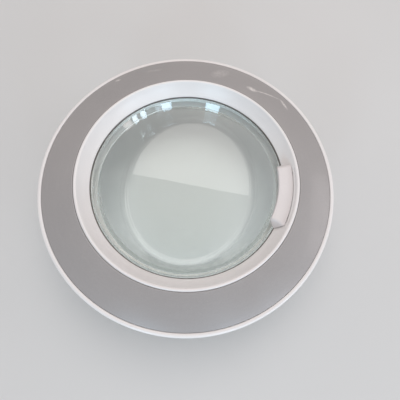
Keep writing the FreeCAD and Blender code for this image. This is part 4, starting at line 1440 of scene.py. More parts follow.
@dataclass
class FrontFrame:
    """White moulding: rim bead, seat of the silver ring, rounded lip, funnel, pocket and bosses."""

    shop: Workshop
    handle: HandleSizes
    pegs: Pegs
    segments: int = 360
    boss_radius: float = 4.6
    pilot_radius: float = 2.05
    pilot_top: float = -2.0
    edge_round: float = 0.5
    shoulder_round: float = 1.0
    seat_round: float = 0.3
    lip_foot_round: float = 0.35
    lip_peak_share: float = 0.45
    funnel_round: float = 0.4
    rim_steps: int = 14
    dome_steps: int = 20
    lip_steps: int = 12
    funnel_steps: int = 10

    def outline(self) -> list[Point]:
        """Section of the moulding outside the pocket.

        Returns:
            Radius and height of each point.
        """
        door = DOOR
        skirt_outer = door.rim_radius - door.skirt_draft
        crown = (door.rim_radius - door.rim_width / 2, door.rim_crown)
        peak = (door.ridge_radius - door.ridge_width * self.lip_peak_share, door.ridge_height)
        sag = (
            (door.opening_radius + door.ridge_inner) / 2 + door.funnel_sag,
            (door.funnel_foot + door.ridge_inner_z) / 2 - door.funnel_sag,
        )
        ridge_foot = door.ridge_radius - door.ridge_width / 2
        web_outer = door.rim_radius - door.wall
        made = Outline()
        made.corner(skirt_outer, -door.skirt_depth, self.edge_round)
        made.corner(door.rim_radius, -door.rim_shoulder, self.shoulder_round)
        made.arc(crown, door.dome(door.seat_outer, 0.0), self.rim_steps, self.seat_round)
        made.run(door.dome_line(door.seat_outer, door.ridge_radius, door.seat_depth, self.dome_steps))
        made.corner(*door.dome(door.ridge_radius, 0.0), self.lip_foot_round)
        made.arc(peak, (door.ridge_inner, door.ridge_inner_z), self.lip_steps)
        made.arc(sag, (door.opening_radius, door.funnel_foot), self.funnel_steps, self.funnel_round)
        made.corner(door.opening_radius, door.seal_plane)
        made.corner(door.opening_radius + door.foot_width, door.seal_plane)
        made.run(door.dome_line(ridge_foot, web_outer, door.web_depth, self.dome_steps))
        made.corner(skirt_outer - door.wall, -door.skirt_depth, self.edge_round)
        return made.points()

    def added(self) -> list[bpy.types.Object]:
        """Pocket walls, pin ears and screw bosses.

        Returns:
            What is joined to the moulding.
        """
        bench, door, hand = self.shop.bench, DOOR, self.handle
        pocket_outer = hand.window_radius + hand.pocket_wall
        inside = door.seat_depth + door.wall / 2
        middle_z = (door.ridge_inner_z + door.pivot_z) / 2
        pocket = [
            (door.opening_radius + door.wall / 2, door.seal_plane), (pocket_outer, door.seal_plane),
            door.dome(pocket_outer, inside), (door.funnel_radius(middle_z) + door.wall / 2, middle_z),
        ]
        made = [bench.wedge(pocket, hand.pocket_half_angle + hand.pocket_side)]
        low = hand.lever_outer + hand.lever_gap
        high = low + hand.ear_wall
        reach = (door.pivot_x - hand.hub_radius, door.pivot_x + hand.hub_radius)
        tall = (door.pivot_z - hand.hub_radius, door.dome(reach[1], inside)[1])
        made += [bench.block(reach, y, tall) for y in ((low, high), (-high, -low))]
        top = door.dome(door.band_middle + self.boss_radius, inside)[1]
        steps = [(self.boss_radius, door.boss_face), (self.boss_radius, top)]
        return made + [bench.turned(place, steps) for place in self.pegs.screw_places()]

    def taken(self) -> list[bpy.types.Object]:
        """Window, lever slots, pin bore, pilot holes and peg holes.

        Returns:
            What is taken from the moulding.
        """
        bench, door, hand = self.shop.bench, DOOR, self.handle
        wall, above = hand.grip_outer + hand.room, door.ridge_height + OVERSHOOT
        slant_foot = hand.grip_top - hand.slant_drop
        window = [
            (hand.grip_inner, door.flange_top), (wall, door.flange_top), (wall, slant_foot),
            (hand.window_radius, slant_foot + hand.window_radius - wall),
            (hand.window_radius, above), (hand.grip_inner, above),
        ]
        made = [bench.wedge(window, hand.pocket_half_angle)]
        low, high = hand.lever_inner - hand.lever_gap, hand.lever_outer + hand.lever_gap
        reach = (hand.grip_inner, door.pivot_x)
        tall = (
            door.pivot_z - hand.hub_radius - hand.lever_gap,
            door.pivot_z + hand.hub_radius + hand.lever_lift,
        )
        made += [bench.block(reach, y, tall) for y in ((low, high), (-high, -low))]
        far = high + hand.ear_wall + OVERSHOOT
        made.append(bench.rod(hand.bore_radius, door.pivot_x, door.pivot_z, -far, far))
        pilot = [(self.pilot_radius, door.boss_face - OVERSHOOT), (self.pilot_radius, self.pilot_top)]
        made += [bench.turned(place, pilot, HOLE_SIDES) for place in self.pegs.screw_places()]
        radius = self.pegs.peg_radius + door.decor_gap
        hole = [(radius, door.boss_face), (radius, door.ridge_height)]
        return made + [bench.turned(place, hole, HOLE_SIDES) for place in self.pegs.peg_places()]

    def build(self) -> None:
        """Make the moulding and hand it over."""
        bench, white = self.shop.bench, self.shop.materials[Slot.WHITE]
        piece = self.shop.rings.make("front_moulding", self.outline(), self.segments, white)
        bench.carve(piece, Cut.JOIN, self.added())
        bench.carve(piece, Cut.TAKE, self.taken())
        self.shop.deliver(bench.smooth(piece), Body.DOOR, Slot.WHITE, "front_frame")


@dataclass
class SilverRing:
    """Silver-grey inlay with pegs on its underside."""

    shop: Workshop
    pegs: Pegs
    segments: int = 360
    edge_round: float = 0.7
    inner_gap: float = 0.8
    outer_gap: float = 0.45
    under_steps: int = 20
    front_steps: int = 26

    def outline(self) -> list[Point]:
        """Section of the ring.

        Returns:
            Radius and height of each point.
        """
        door = DOOR
        outer, inner = door.seat_outer - self.outer_gap, door.ridge_radius + self.inner_gap
        made = Outline()
        made.run(door.dome_line(inner, outer, door.decor_wall, self.under_steps))
        made.corner(*door.dome(outer, 0.0), self.edge_round)
        made.run(door.dome_line(outer, inner, 0.0, self.front_steps)[1:-1])
        made.corner(*door.dome(inner, 0.0), self.edge_round)
        return made.points()

    def build(self) -> None:
        """Make the ring and hand it over."""
        bench, door, pegs = self.shop.bench, DOOR, self.pegs
        silver = self.shop.materials[Slot.SILVER]
        piece = self.shop.rings.make("silver_ring", self.outline(), self.segments, silver)
        top = door.dome(door.band_middle + pegs.peg_radius, door.decor_wall / 2)[1]
        bottom = door.dome(door.band_middle, door.decor_wall)[1] - pegs.peg_length
        steps = [
            (pegs.peg_radius - pegs.peg_chamfer, bottom), (pegs.peg_radius, bottom + pegs.peg_chamfer),
            (pegs.peg_radius, top),
        ]
        tools = [bench.turned(place, steps, HOLE_SIDES) for place in pegs.peg_places()]
        bench.carve(piece, Cut.JOIN, tools)
        self.shop.deliver(bench.smooth(piece), Body.DOOR, Slot.SILVER, "decor_ring")


@dataclass
class GlassBowl:
    """Pressed glass with flange, neck and a bowl whose floor is flat and slants."""

    shop: Workshop
    sides: int = 288
    wall: float = 5.0
    flange_radius: float = 151.0
    flange_edge: float = 1.2
    neck_radius: float = 129.0
    neck_depth: float = 12.0
    neck_start: float = 1.0
    mouth_round: float = 2.5
    root_round: float = 1.5
    bowl_radius: float = 120.5
    bowl_depth: float = 49.0
    floor_slope: float = 0.2
    floor_half_width: float = 98.0
    floor_half_height: float = 111.0
    floor_shift: float = 6.0
    floor_round: float = 9.0
    crease: float = 0.035
    round_steps: int = 10
    corner_steps: int = 6
    smooth_degrees: float = 50.0
    wall_shares: tuple[float, ...] = (0.2, 0.4, 0.6, 0.8, 0.92)
    floor_shares: tuple[float, ...] = (0.97, 0.9, 0.75, 0.5, 0.25)

    @property
    def neck_z(self) -> float:
        """Height of the ring line where the neck meets the bowl."""
        return DOOR.flange_top - self.neck_depth

    @property
    def neck_slope(self) -> float:
        """Widening of the neck for each millimetre of its height."""
        return (self.neck_radius - self.bowl_radius) / self.neck_depth

    @property
    def side_wall(self) -> float:
        """Wall of the neck, measured level."""
        return self.wall * math.hypot(1.0, self.neck_slope)

    def bowl_loops(self, side: float, floor: float) -> list[list[Vector]]:
        """Loops of one face of the bowl.

        Args:
            side: Distance that the side is moved out.
            floor: Distance that the floor is moved down.

        Returns:
            Loops from the neck to the middle of the floor, the last one a single point repeated.
        """
        plane = self.neck_z - self.bowl_depth - floor
        up = Vector((0.0, -self.floor_slope, 1.0)).normalized()
        middle = Vector((0.0, self.floor_shift, plane + self.floor_slope * self.floor_shift))
        half_width, half_height = self.floor_half_width + side, self.floor_half_height + side
        radius = self.floor_round + floor
        columns = []
        for c, s in circle(self.sides):
            top = Vector(((self.bowl_radius + side) * c, (self.bowl_radius + side) * s, self.neck_z))
            y = self.floor_shift + half_height * s
            foot = Vector((half_width * c, y, plane + self.floor_slope * y))
            along = Vector((-half_width * s, half_height * c, self.floor_slope * half_height * c))
            along.normalize()
            rise = top - foot
            rise = (rise - along * rise.dot(along)).normalized()
            inward = up.cross(along).normalized()
            half = rise.angle(inward) / 2
            trim = radius / math.tan(half)
            centre = foot + (rise + inward).normalized() * (radius / math.sin(half))
            first, last = foot + rise * trim - centre, foot + inward * trim - centre
            turn = first.angle(last)
            axis = first.cross(last).normalized()
            column = [top, top.lerp(centre + first, self.crease)]
            column += [top.lerp(centre + first, share) for share in self.wall_shares]
            column += [
                centre + Matrix.Rotation(turn * k / self.round_steps, 3, axis) @ first
                for k in range(self.round_steps + 1)
            ]
            column += [middle.lerp(centre + last, share) for share in self.floor_shares]
            columns.append([*column, middle])
        return [list(loop) for loop in zip(*columns)]

    def neck_line(self) -> list[Point]:
        """Section of neck and flange, from the ring line inside to the ring line outside.

        Returns:
            Radius and height of each point.
        """
        top, low = DOOR.flange_top, DOOR.flange_top - self.wall
        slope, outside = self.neck_slope, self.bowl_radius + self.side_wall
        start_z, wider = self.neck_z + self.neck_start, slope * self.neck_start
        made = Outline()
        made.corner(self.bowl_radius, self.neck_z)
        made.corner(self.bowl_radius + wider, start_z)
        made.corner(self.neck_radius, top, self.mouth_round)
        made.corner(self.flange_radius, top, self.flange_edge)
        made.corner(self.flange_radius, low, self.flange_edge)
        made.corner(self.neck_radius - slope * self.wall + self.side_wall, low, self.root_round)
        made.corner(outside + wider, start_z)
        made.corner(outside, self.neck_z)
        return made.points(self.corner_steps)

    def build(self) -> None:
        """Make the glass and hand it over."""
        bench = self.shop.bench
        inside = self.bowl_loops(0.0, 0.0)
        outside = self.bowl_loops(self.side_wall, self.wall * math.hypot(1.0, self.floor_slope))
        neck = [[Vector((r * c, r * s, z)) for c, s in circle(self.sides)] for r, z in self.neck_line()]
        piece = bench.loft("glass_bowl", inside[::-1] + neck[1:-1] + outside, capped=False)
        self.shop.deliver(bench.smooth(piece, self.smooth_degrees), Body.DOOR, Slot.GLASS, "door_glass")


@dataclass
class GlassSeal:
    """Rubber ring between the funnel's foot and the glass."""

    shop: Workshop
    segments: int = 300
    proud: float = 1.2
    width: float = 6.0
    lip_round: float = 0.8
    edge_round: float = 0.3

    def build(self) -> None:
        """Make the seal and hand it over."""
        inner = DOOR.opening_radius - self.proud
        outer = inner + self.width
        made = Outline()
        made.corner(inner, DOOR.flange_top, self.edge_round)
        made.corner(outer, DOOR.flange_top, self.edge_round)
        made.corner(outer, DOOR.seal_plane, self.edge_round)
        made.corner(inner, DOOR.seal_plane, self.lip_round)
        rubber = self.shop.materials[Slot.RUBBER]
        piece = self.shop.rings.make("glass_gasket", made.points(), self.segments, rubber)
        self.shop.deliver(self.shop.bench.smooth(piece), Body.DOOR, Slot.RUBBER, "glass_seal")


@dataclass
class FlatPlaces:
    """Where the countersunk screws of the hinge arm and the latch stand, and their sizes."""

    arm_x: float = -154.906
    arm_spacing: float = 20.0
    latch_x: Point = (158.8, 178.8)
    latch_y: float = 18.2
    head_radius: float = 3.8
    head_height: float = 2.0
    shank_radius: float = 2.0
    arm_length: float = 6.2
    latch_length: float = 4.6

    def arm(self) -> list[Point]:
        """Plan positions of the hinge arm's screws."""
        return [(self.arm_x, k * self.arm_spacing) for k in (-1, 0, 1)]

    def latch(self) -> list[Point]:
        """Plan positions of the latch bracket's screws."""
        return [(x, side * self.latch_y) for x in self.latch_x for side in (-1, 1)]


@dataclass
class BackFrame:
    """White rear moulding with screw wells, hinge opening and hook slot."""

    shop: Workshop
    pegs: Pegs
    flats: FlatPlaces
    segments: int = 360
    outer: float = 195.6
    inner: float = 127.627
    top: float = -7.0
    corner: float = 8.0
    corner_steps: int = 12
    inner_corner_steps: int = 8
    support_outer: float = 141.6
    support_inner: float = 139.0
    flange_bottom: float = -8.0
    edge_round: float = 0.5
    seam_round: float = 0.3
    well_radius: float = 4.6
    well_depth: float = 4.0
    well_wall: float = 1.8
    well_mouth: tuple[Point, ...] = ((0.5, -FACE_PASS), (0.15, 0.2), (0.0, 0.5))
    screw_hole: float = 2.2
    slot_inner: float = 12.5
    slot_outer: float = 9.5
    slot_half: float = 7.0
    hinge_opening_x: float = -165.406
    hinge_opening_half: float = 25.0
    flat_gap: float = 0.1
    sink_sides: int = 32
    groove_radii: Point = (132.6, 185.6)
    groove_half: float = 0.9
    groove_depth: float = 0.7
    groove_round: float = 0.5

    def outline(self) -> list[Point]:
        """Section of the moulding.

        Returns:
            Radius and height of each point.
        """
        low, inside, wall = DOOR.back_plane, DOOR.back_inside, DOOR.back_wall
        bend_r, bend_z = self.outer - self.corner, low + self.corner
        inner_corner = self.corner - wall
        outer_via = (bend_r + self.corner * BEND, bend_z - self.corner * BEND)
        inner_via = (bend_r + inner_corner * BEND, bend_z - inner_corner * BEND)
        made = Outline()
        made.corner(self.inner, low, self.edge_round)
        for radius in self.groove_radii:
            made.corner(radius - self.groove_half, low, self.seam_round)
            made.corner(radius, low + self.groove_depth, self.groove_round)
            made.corner(radius + self.groove_half, low, self.seam_round)
        made.corner(bend_r, low)
        made.arc(outer_via, (self.outer, bend_z), self.corner_steps)
        made.corner(self.outer, self.top, self.seam_round)
        made.corner(self.outer - wall, self.top, self.seam_round)
        made.corner(self.outer - wall, bend_z)
        made.arc(inner_via, (bend_r, inside), self.inner_corner_steps)
        made.corner(self.support_outer, inside)
        made.corner(self.support_outer, self.flange_bottom, self.seam_round)
        made.corner(self.support_inner, self.flange_bottom, self.seam_round)
        made.corner(self.support_inner, inside)
        made.corner(self.inner, inside, self.edge_round)
        return made.points()

    def added(self) -> list[bpy.types.Object]:
        """Towers of the screw wells.

        Returns:
            What is joined to the moulding.
        """
        radius = self.well_radius + self.well_wall
        tower = [(radius, DOOR.back_plane + DOOR.back_wall / 2), (radius, DOOR.boss_face)]
        return [self.shop.bench.turned(place, tower) for place in self.pegs.screw_places()]

    def taken(self) -> list[bpy.types.Object]:
        """Screw wells and holes, sinks of the flat screws, hook slot and hinge opening.

        Returns:
            What is taken from the moulding.
        """
        bench, flats, low = self.shop.bench, self.flats, DOOR.back_plane
        floor = low + self.well_depth
        well = [(self.well_radius + wider, low + deep) for wider, deep in self.well_mouth]
        well.append((self.well_radius, floor))
        hole = [(self.screw_hole, floor - OVERSHOOT / 2), (self.screw_hole, DOOR.boss_face + OVERSHOOT)]
        head, shank = flats.head_radius + self.flat_gap, flats.shank_radius + self.flat_gap
        sink = [
            (head, low - FACE_PASS), (shank, low + flats.head_height), (shank, low + flats.latch_length),
        ]
        places = self.pegs.screw_places()
        made = [bench.turned(place, well) for place in places]
        made += [bench.turned(place, hole, HOLE_SIDES) for place in places]
        made += [bench.turned(place, sink, self.sink_sides) for place in flats.arm() + flats.latch()]
        below, half = low - OVERSHOOT, self.hinge_opening_half
        made.append(bench.block(
            (DOOR.hook_x - self.slot_inner, DOOR.hook_x + self.slot_outer),
            (-self.slot_half, self.slot_half), (below, DOOR.back_inside + OVERSHOOT / 2),
        ))
        made.append(bench.block(
            (-DOOR.rim_radius, self.hinge_opening_x), (-half, half), (below, self.top + OVERSHOOT),
        ))
        return made

    def build(self) -> None:
        """Make the moulding and hand it over."""
        bench, white = self.shop.bench, self.shop.materials[Slot.WHITE]
        piece = self.shop.rings.make("rear_moulding", self.outline(), self.segments, white)
        bench.carve(piece, Cut.JOIN, self.added())
        bench.carve(piece, Cut.TAKE, self.taken())
        self.shop.deliver(bench.smooth(piece), Body.DOOR, Slot.WHITE, "back_frame")


@dataclass
class Screws:
    """Pan screws of the two mouldings and flat screws of hinge arm and latch."""

    shop: Workshop
    pegs: Pegs
    flats: FlatPlaces
    sides: int = 40
    pan_radius: float = 4.0
    pan_height: float = 2.6
    pan_steps: tuple[Point, ...] = ((0.55, 0.0), (0.8, 0.18), (0.94, 0.6), (1.0, 1.3))
    pan_seat: float = 4.0
    pan_length: float = 16.0
    pan_tip: float = 1.5
    pan_tip_share: float = 0.3
    pan_recess: float = 1.8
    flat_chamfer: float = 0.15
    flat_edge: float = 0.12
    flat_tip: float = 0.6
    flat_tip_share: float = 0.7
    flat_recess: float = 1.0
    recess_half: float = 0.45
    recess_ends: tuple[float, float] = (1.04, 0.55)
    recess_proud: float = 0.1
    seeds: tuple[int, int, int] = (3, 5, 8)

    def blank(self, steps: Sequence[Point], depth: float) -> bpy.types.Object:
        """Screw about the part's origin with a tapered cross recess.

        Args:
            steps: Radius and height of each ring from head to tip, from the back plane.
            depth: Depth of the recess.

        Returns:
            The screw.
        """
        bench = self.shop.bench
        home = bench.origin
        bench.origin = Vector((0.0, 0.0, 0.0))
        screw = bench.turned((0.0, 0.0), steps, self.sides)
        reach, half, face = self.flats.shank_radius, self.recess_half, steps[0][1]
        levels = tuple(zip(self.recess_ends, (face - self.recess_proud, face + depth)))
        tools = []
        for wide, deep in ((reach, half), (half, reach)):
            corners = ((-wide, -deep), (wide, -deep), (wide, deep), (-wide, deep))
            loops = [[(x * share, y * share, z) for x, y in corners] for share, z in levels]
            tools.append(bench.loft("recess", loops))
        bench.carve(screw, Cut.TAKE, tools)
        bench.origin = home
        return screw

    def pan(self) -> list[Point]:
        """Rings of a pan screw.

        Returns:
            Radius and height of each ring, from the back plane.
        """
        seat, shank = self.pan_seat, self.flats.shank_radius
        face, end = seat - self.pan_height, seat + self.pan_length
        head = [(self.pan_radius * share, face + deep) for share, deep in self.pan_steps]
        return head + [
            (self.pan_radius, seat), (shank, seat), (shank, end - self.pan_tip),
            (shank * self.pan_tip_share, end),
        ]

    def flat(self, length: float) -> list[Point]:
        """Rings of a flat screw.

        Args:
            length: Length of the screw.

        Returns:
            Radius and height of each ring, from the back plane.
        """
        head, shank = self.flats.head_radius, self.flats.shank_radius
        return [
            (head - self.flat_chamfer, 0.0), (head, self.flat_edge), (shank, self.flats.head_height),
            (shank, length - self.flat_tip), (shank * self.flat_tip_share, length),
        ]

    def build(self) -> None:
        """Make the three sets of screws and hand them over."""
        shop, flats = self.shop, self.flats
        arm, latch = self.flat(flats.arm_length), self.flat(flats.latch_length)
        rows = (
            ("frame_screw_set", self.pan(), self.pan_recess, self.pegs.screw_places(), "frame_screws"),
            ("arm_screw_set", arm, self.flat_recess, flats.arm(), "arm_screws"),
            ("latch_screw_set", latch, self.flat_recess, flats.latch(), "latch_screws"),
        )
        for seed, (name, steps, recess, places, node) in zip(self.seeds, rows):
            screw = self.blank(steps, recess)
            piece = shop.screws.make(name, screw, places, seed, shop.materials[Slot.ZINC])
            shop.deliver(piece, Body.DOOR, Slot.ZINC, node)


@dataclass
class Handle:
    """Curved grip with leaning ends, levers, hub and tail, its pin and its spring."""

    shop: Workshop
    size: HandleSizes
    stations: int = 44
    end_steps: int = 5
    edge_steps: int = 6
    crown_steps: int = 14
    lip_round: float = 0.6
    top_round: float = 0.7
    foot_round: float = 0.4
    inset_share: float = 0.6
    pin_round: float = 0.4

    def outline(self) -> list[Point]:
        """Outer section of the grip.

        Returns:
            Radius and height of each point.
        """
        size = self.size
        low = DOOR.funnel_foot + size.gap
        foot = DOOR.funnel_radius(low) - size.gap
        near = size.edge * (1 - BEND)
        crown = ((size.grip_inner + size.grip_outer) / 2, size.grip_top + size.grip_crown)
        made = Outline()
        made.corner(size.grip_inner, size.grip_top - size.grip_lip, self.lip_round)
        made.corner(size.grip_inner, size.grip_top - size.edge)
        made.arc(
            (size.grip_inner + near, size.grip_top - near), (size.grip_inner + size.edge, size.grip_top),
            self.edge_steps,
        )
        made.arc(crown, (size.grip_outer, size.grip_top), self.crown_steps, self.top_round)
        made.corner(foot, low, self.foot_round)
        made.corner(foot - size.edge, low, self.foot_round)
        return made.points()

    def ways(self, length: float) -> list[float]:
        """Stations along the grip, close together in its rounded ends.

        Args:
            length: Half the length of the grip.

        Returns:
            Way of each station, from 0 at one end to 2 at the other.
        """
        rounded = self.size.end_round / length
        ends = [
            self.size.end_round * (1 - math.cos(math.pi / 2 * k / self.end_steps)) / length
            for k in range(self.end_steps)
        ]
        inner = [rounded + (2 - 2 * rounded) * k / self.stations for k in range(self.stations + 1)]
        return ends + inner + [2 - way for way in reversed(ends)]

    def grip(self) -> bpy.types.Object:
        """Solid grip with leaning, rounded ends.

        Returns:
            The grip.
        """
        size = self.size
        outline = self.outline()
        middle = Vector((sum(p[0] for p in outline), sum(p[1] for p in outline))) / len(outline)
        lean, skew = math.tan(math.radians(size.end_lean)), math.tan(math.radians(size.end_skew))
        reach = math.radians(size.half_angle)
        length = reach * middle[0]
        loops = []
        for way in self.ways(length):
            short = max(0.0, size.end_round - min(way, 2 - way) * length)
            inset = size.end_round - math.sqrt(size.end_round ** 2 - short ** 2)
            loop = []
            for r, z in outline:
                spot = Vector((r, z))
                pull = middle - spot
                spot += pull.normalized() * min(inset, self.inset_share * pull.length)
                longer = (size.grip_top - spot[1]) * lean + (spot[0] - size.grip_inner) * skew
                angle = (way - 1) * (reach + longer / spot[0])
                loop.append((spot[0] * math.cos(angle), spot[0] * math.sin(angle), spot[1]))
            loops.append(loop)
        return self.shop.bench.loft("pull_handle", loops)

    def hollow(self) -> bpy.types.Object:
        """Room for fingers under the grip.

        Returns:
            What is taken from the grip.
        """
        size = self.size
        under, lip = size.grip_top - size.grip_wall, size.grip_top - size.grip_lip
        step, inner = size.grip_inner + size.grip_wall, size.grip_inner - size.edge
        return self.shop.bench.wedge([
            (inner, DOOR.flange_top), (size.window_radius, DOOR.flange_top),
            (size.window_radius, under), (step, under), (step, lip), (inner, lip),
        ], size.finger_half_angle)

    def levers(self) -> list[bpy.types.Object]:
        """Lever arms, hubs, tail and spring lug.

        Returns:
            What is joined to the grip.
        """
        bench, size, x, z = self.shop.bench, self.size, DOOR.pivot_x, DOOR.pivot_z
        under, edge = size.grip_top - size.grip_wall, size.edge
        start = size.grip_inner * math.cos(math.radians(size.half_angle)) + size.grip_lip
        shoulder = size.grip_outer * math.cos(math.radians(size.finger_half_angle))
        top = z + size.pin_radius
        lever = [
            (start, under + edge), (start, under), (x - size.lever_heel, z - size.hub_radius + edge),
            (x, z - size.hub_radius), (x, top), (shoulder - edge / 2, top), (shoulder - edge, under + edge),
        ]
        low, high = size.spring_middle - size.spring_half, size.spring_middle + size.spring_half
        nose_x, nose_z = x + size.tail_reach, z - size.tail_drop
        length = math.hypot(size.tail_reach, size.tail_drop)
        side_x = size.tail_drop / length * size.tail_round
        side_z = size.tail_reach / length * size.tail_round
        tail = [
            (x + side_x, z + side_z), (nose_x + side_x, nose_z + side_z),
            (nose_x - side_x, nose_z - side_z), (x - side_x, z - side_z),
        ]
        lug = self.lug_start()
        lug_bottom = z - size.coil_radius + size.wire_radius + size.leg_gap
        return [
            bench.prism(lever, size.lever_inner, size.lever_outer),
            bench.prism(lever, -size.lever_outer, -size.lever_inner),
            bench.rod(size.hub_radius, x, z, -size.lever_outer, low),
            bench.rod(size.hub_radius, x, z, high, size.lever_outer),
            bench.prism(tail, -size.tail_half, size.tail_half),
            bench.rod(size.tail_round, nose_x, nose_z, -size.tail_half, size.tail_half),
            bench.block((lug, lug + size.grip_wall), (0.0, high), (lug_bottom, z)),
        ]

    def lug_start(self) -> float:
        """Where the spring lug starts, just outside the coil."""
        return DOOR.pivot_x + self.size.coil_radius + self.size.wire_radius + self.size.lug_gap

    def spring_path(self) -> list[Spot]:
        """Middle of the spring's wire: leg in the pocket wall, coil, leg under the lug.

        Returns:
            Points of the wire.
        """
        size, x, z = self.size, DOOR.pivot_x, DOOR.pivot_z
        coil = size.coil(x, z, size.spring_middle, size.coil_turns, -math.pi / 2)
        bottom = z - size.coil_radius
        first = (size.window_radius + size.pocket_wall / 2, coil[0][1], bottom)
        return [first, *coil, (self.lug_start() + size.grip_wall, coil[-1][1], bottom)]

    def build(self) -> None:
        """Make the handle, its spring and its pin, and hand them over."""
        shop, bench, size = self.shop, self.shop.bench, self.size
        far = size.lever_outer + OVERSHOOT
        piece = self.grip()
        bench.carve(piece, Cut.TAKE, [self.hollow()])
        bench.carve(piece, Cut.JOIN, self.levers())
        bench.carve(piece, Cut.TAKE, [bench.rod(size.bore_radius, DOOR.pivot_x, DOOR.pivot_z, -far, far)])
        shop.deliver(bench.smooth(piece), Body.HANDLE, Slot.HANDLE, "handle")
        path = self.spring_path()
        wire = shop.wires.make("handle_spring_wire", path, size.wire_radius, shop.materials[Slot.SPRING])
        twist = Twist.between(Body.HANDLE, path, size.wire_radius)
        shop.deliver(wire, Body.DOOR, Slot.SPRING, "handle_spring", twist)
        pin = bench.softened("handle_pin", "handle_pivot", self.pin_round)
        shop.deliver(pin, Body.DOOR, Slot.BRIGHT, "handle_pin")


@dataclass
class Latch:
    """Hook, its pin and spring, and the steel bracket that carries them."""

    shop: Workshop
    handle: HandleSizes
    hook_half: float = 5.5
    ear_inner: float = 13.2
    bracket_wall: float = 2.0
    turns: float = 3.25
    hook_round: float = 0.5
    pin_round: float = 0.3
    bracket_round: float = 0.25

    def spring_path(self) -> list[Spot]:
        """Middle of the spring's wire: leg on the bracket, coil, leg under the hook's arm.

        Returns:
            Points of the wire.
        """
        size, x, z = self.handle, DOOR.hook_x, DOOR.hook_z
        coil = size.coil(x, z, (self.hook_half + self.ear_inner) / 2, self.turns, 0.0)
        rest = DOOR.back_inside + self.bracket_wall + size.leg_gap
        end = DOOR.pivot_x + size.tail_reach - size.tail_round
        return [
            (x + size.coil_radius, coil[0][1], rest), *coil, (end, coil[-1][1], z + size.coil_radius),
        ]

    def build(self) -> None:
        """Make the pieces and hand them over."""
        shop, radius = self.shop, self.handle.wire_radius
        rows = (
            ("latch_hook", "hook_casting", self.hook_round, Body.HOOK, Slot.CAST),
            ("hook_pin", "hook_pivot", self.pin_round, Body.DOOR, Slot.BRIGHT),
            ("latch_bracket", "latch_plate", self.bracket_round, Body.DOOR, Slot.ZINC),
        )
        for node, name, rounding, body, slot in rows:
            shop.deliver(shop.bench.softened(node, name, rounding), body, slot, node)
        path = self.spring_path()
        wire = shop.wires.make("hook_spring_wire", path, radius, shop.materials[Slot.SPRING])
        twist = Twist.between(Body.HOOK, path, radius)
        shop.deliver(wire, Body.DOOR, Slot.SPRING, "hook_spring", twist)


@dataclass
class Hinge:
    """Arm on the door, bracket on the machine, pin, clip and bushes."""

    shop: Workshop
    arm_round: float = 0.8
    bracket_round: float = 0.5
    small_round: float = 0.2
    clip_round: float = 0.1

    def build(self) -> None:
        """Make the pieces and hand them over."""
        rows = (
            ("hinge_arm", "hinge_arm_casting", self.arm_round, Body.DOOR, Slot.CAST),
            ("hinge_bracket", "hinge_plate", self.bracket_round, Body.BRACKET, Slot.ZINC),
            ("hinge_pin", "hinge_pivot", self.small_round, Body.DOOR, Slot.BRIGHT),
            ("pin_clip", "pivot_clip", self.clip_round, Body.DOOR, Slot.SPRING),
            ("hinge_bush_upper", "upper_bush", self.small_round, Body.BRACKET, Slot.BUSH),
            ("hinge_bush_lower", "lower_bush", self.small_round, Body.BRACKET, Slot.BUSH),
        )
        for node, name, rounding, body, slot in rows:
            self.shop.deliver(self.shop.bench.softened(node, name, rounding), body, slot, node)


@dataclass(frozen=True)
class SoftBox:
    """Rectangular lamp that looks at the door: its direction, distance, sides, glow and colour."""

    name: str
    azimuth: float
    elevation: float
    distance: float
    width: float
    height: float
    glow: float
    colour: Colour

    @property
    def place(self) -> Vector:
        """Where the lamp hangs, from the middle of the door.

        Returns:
            The place, in metres.
        """
        turn, rise = math.radians(self.azimuth), math.radians(self.elevation)
        level = self.distance * math.cos(rise)
        return Vector((level * math.cos(turn), level * math.sin(turn), self.distance * math.sin(rise)))

    @property
    def power(self) -> float:
        """Power that gives the lamp its glow."""
        return self.glow * math.pi * self.width * self.height


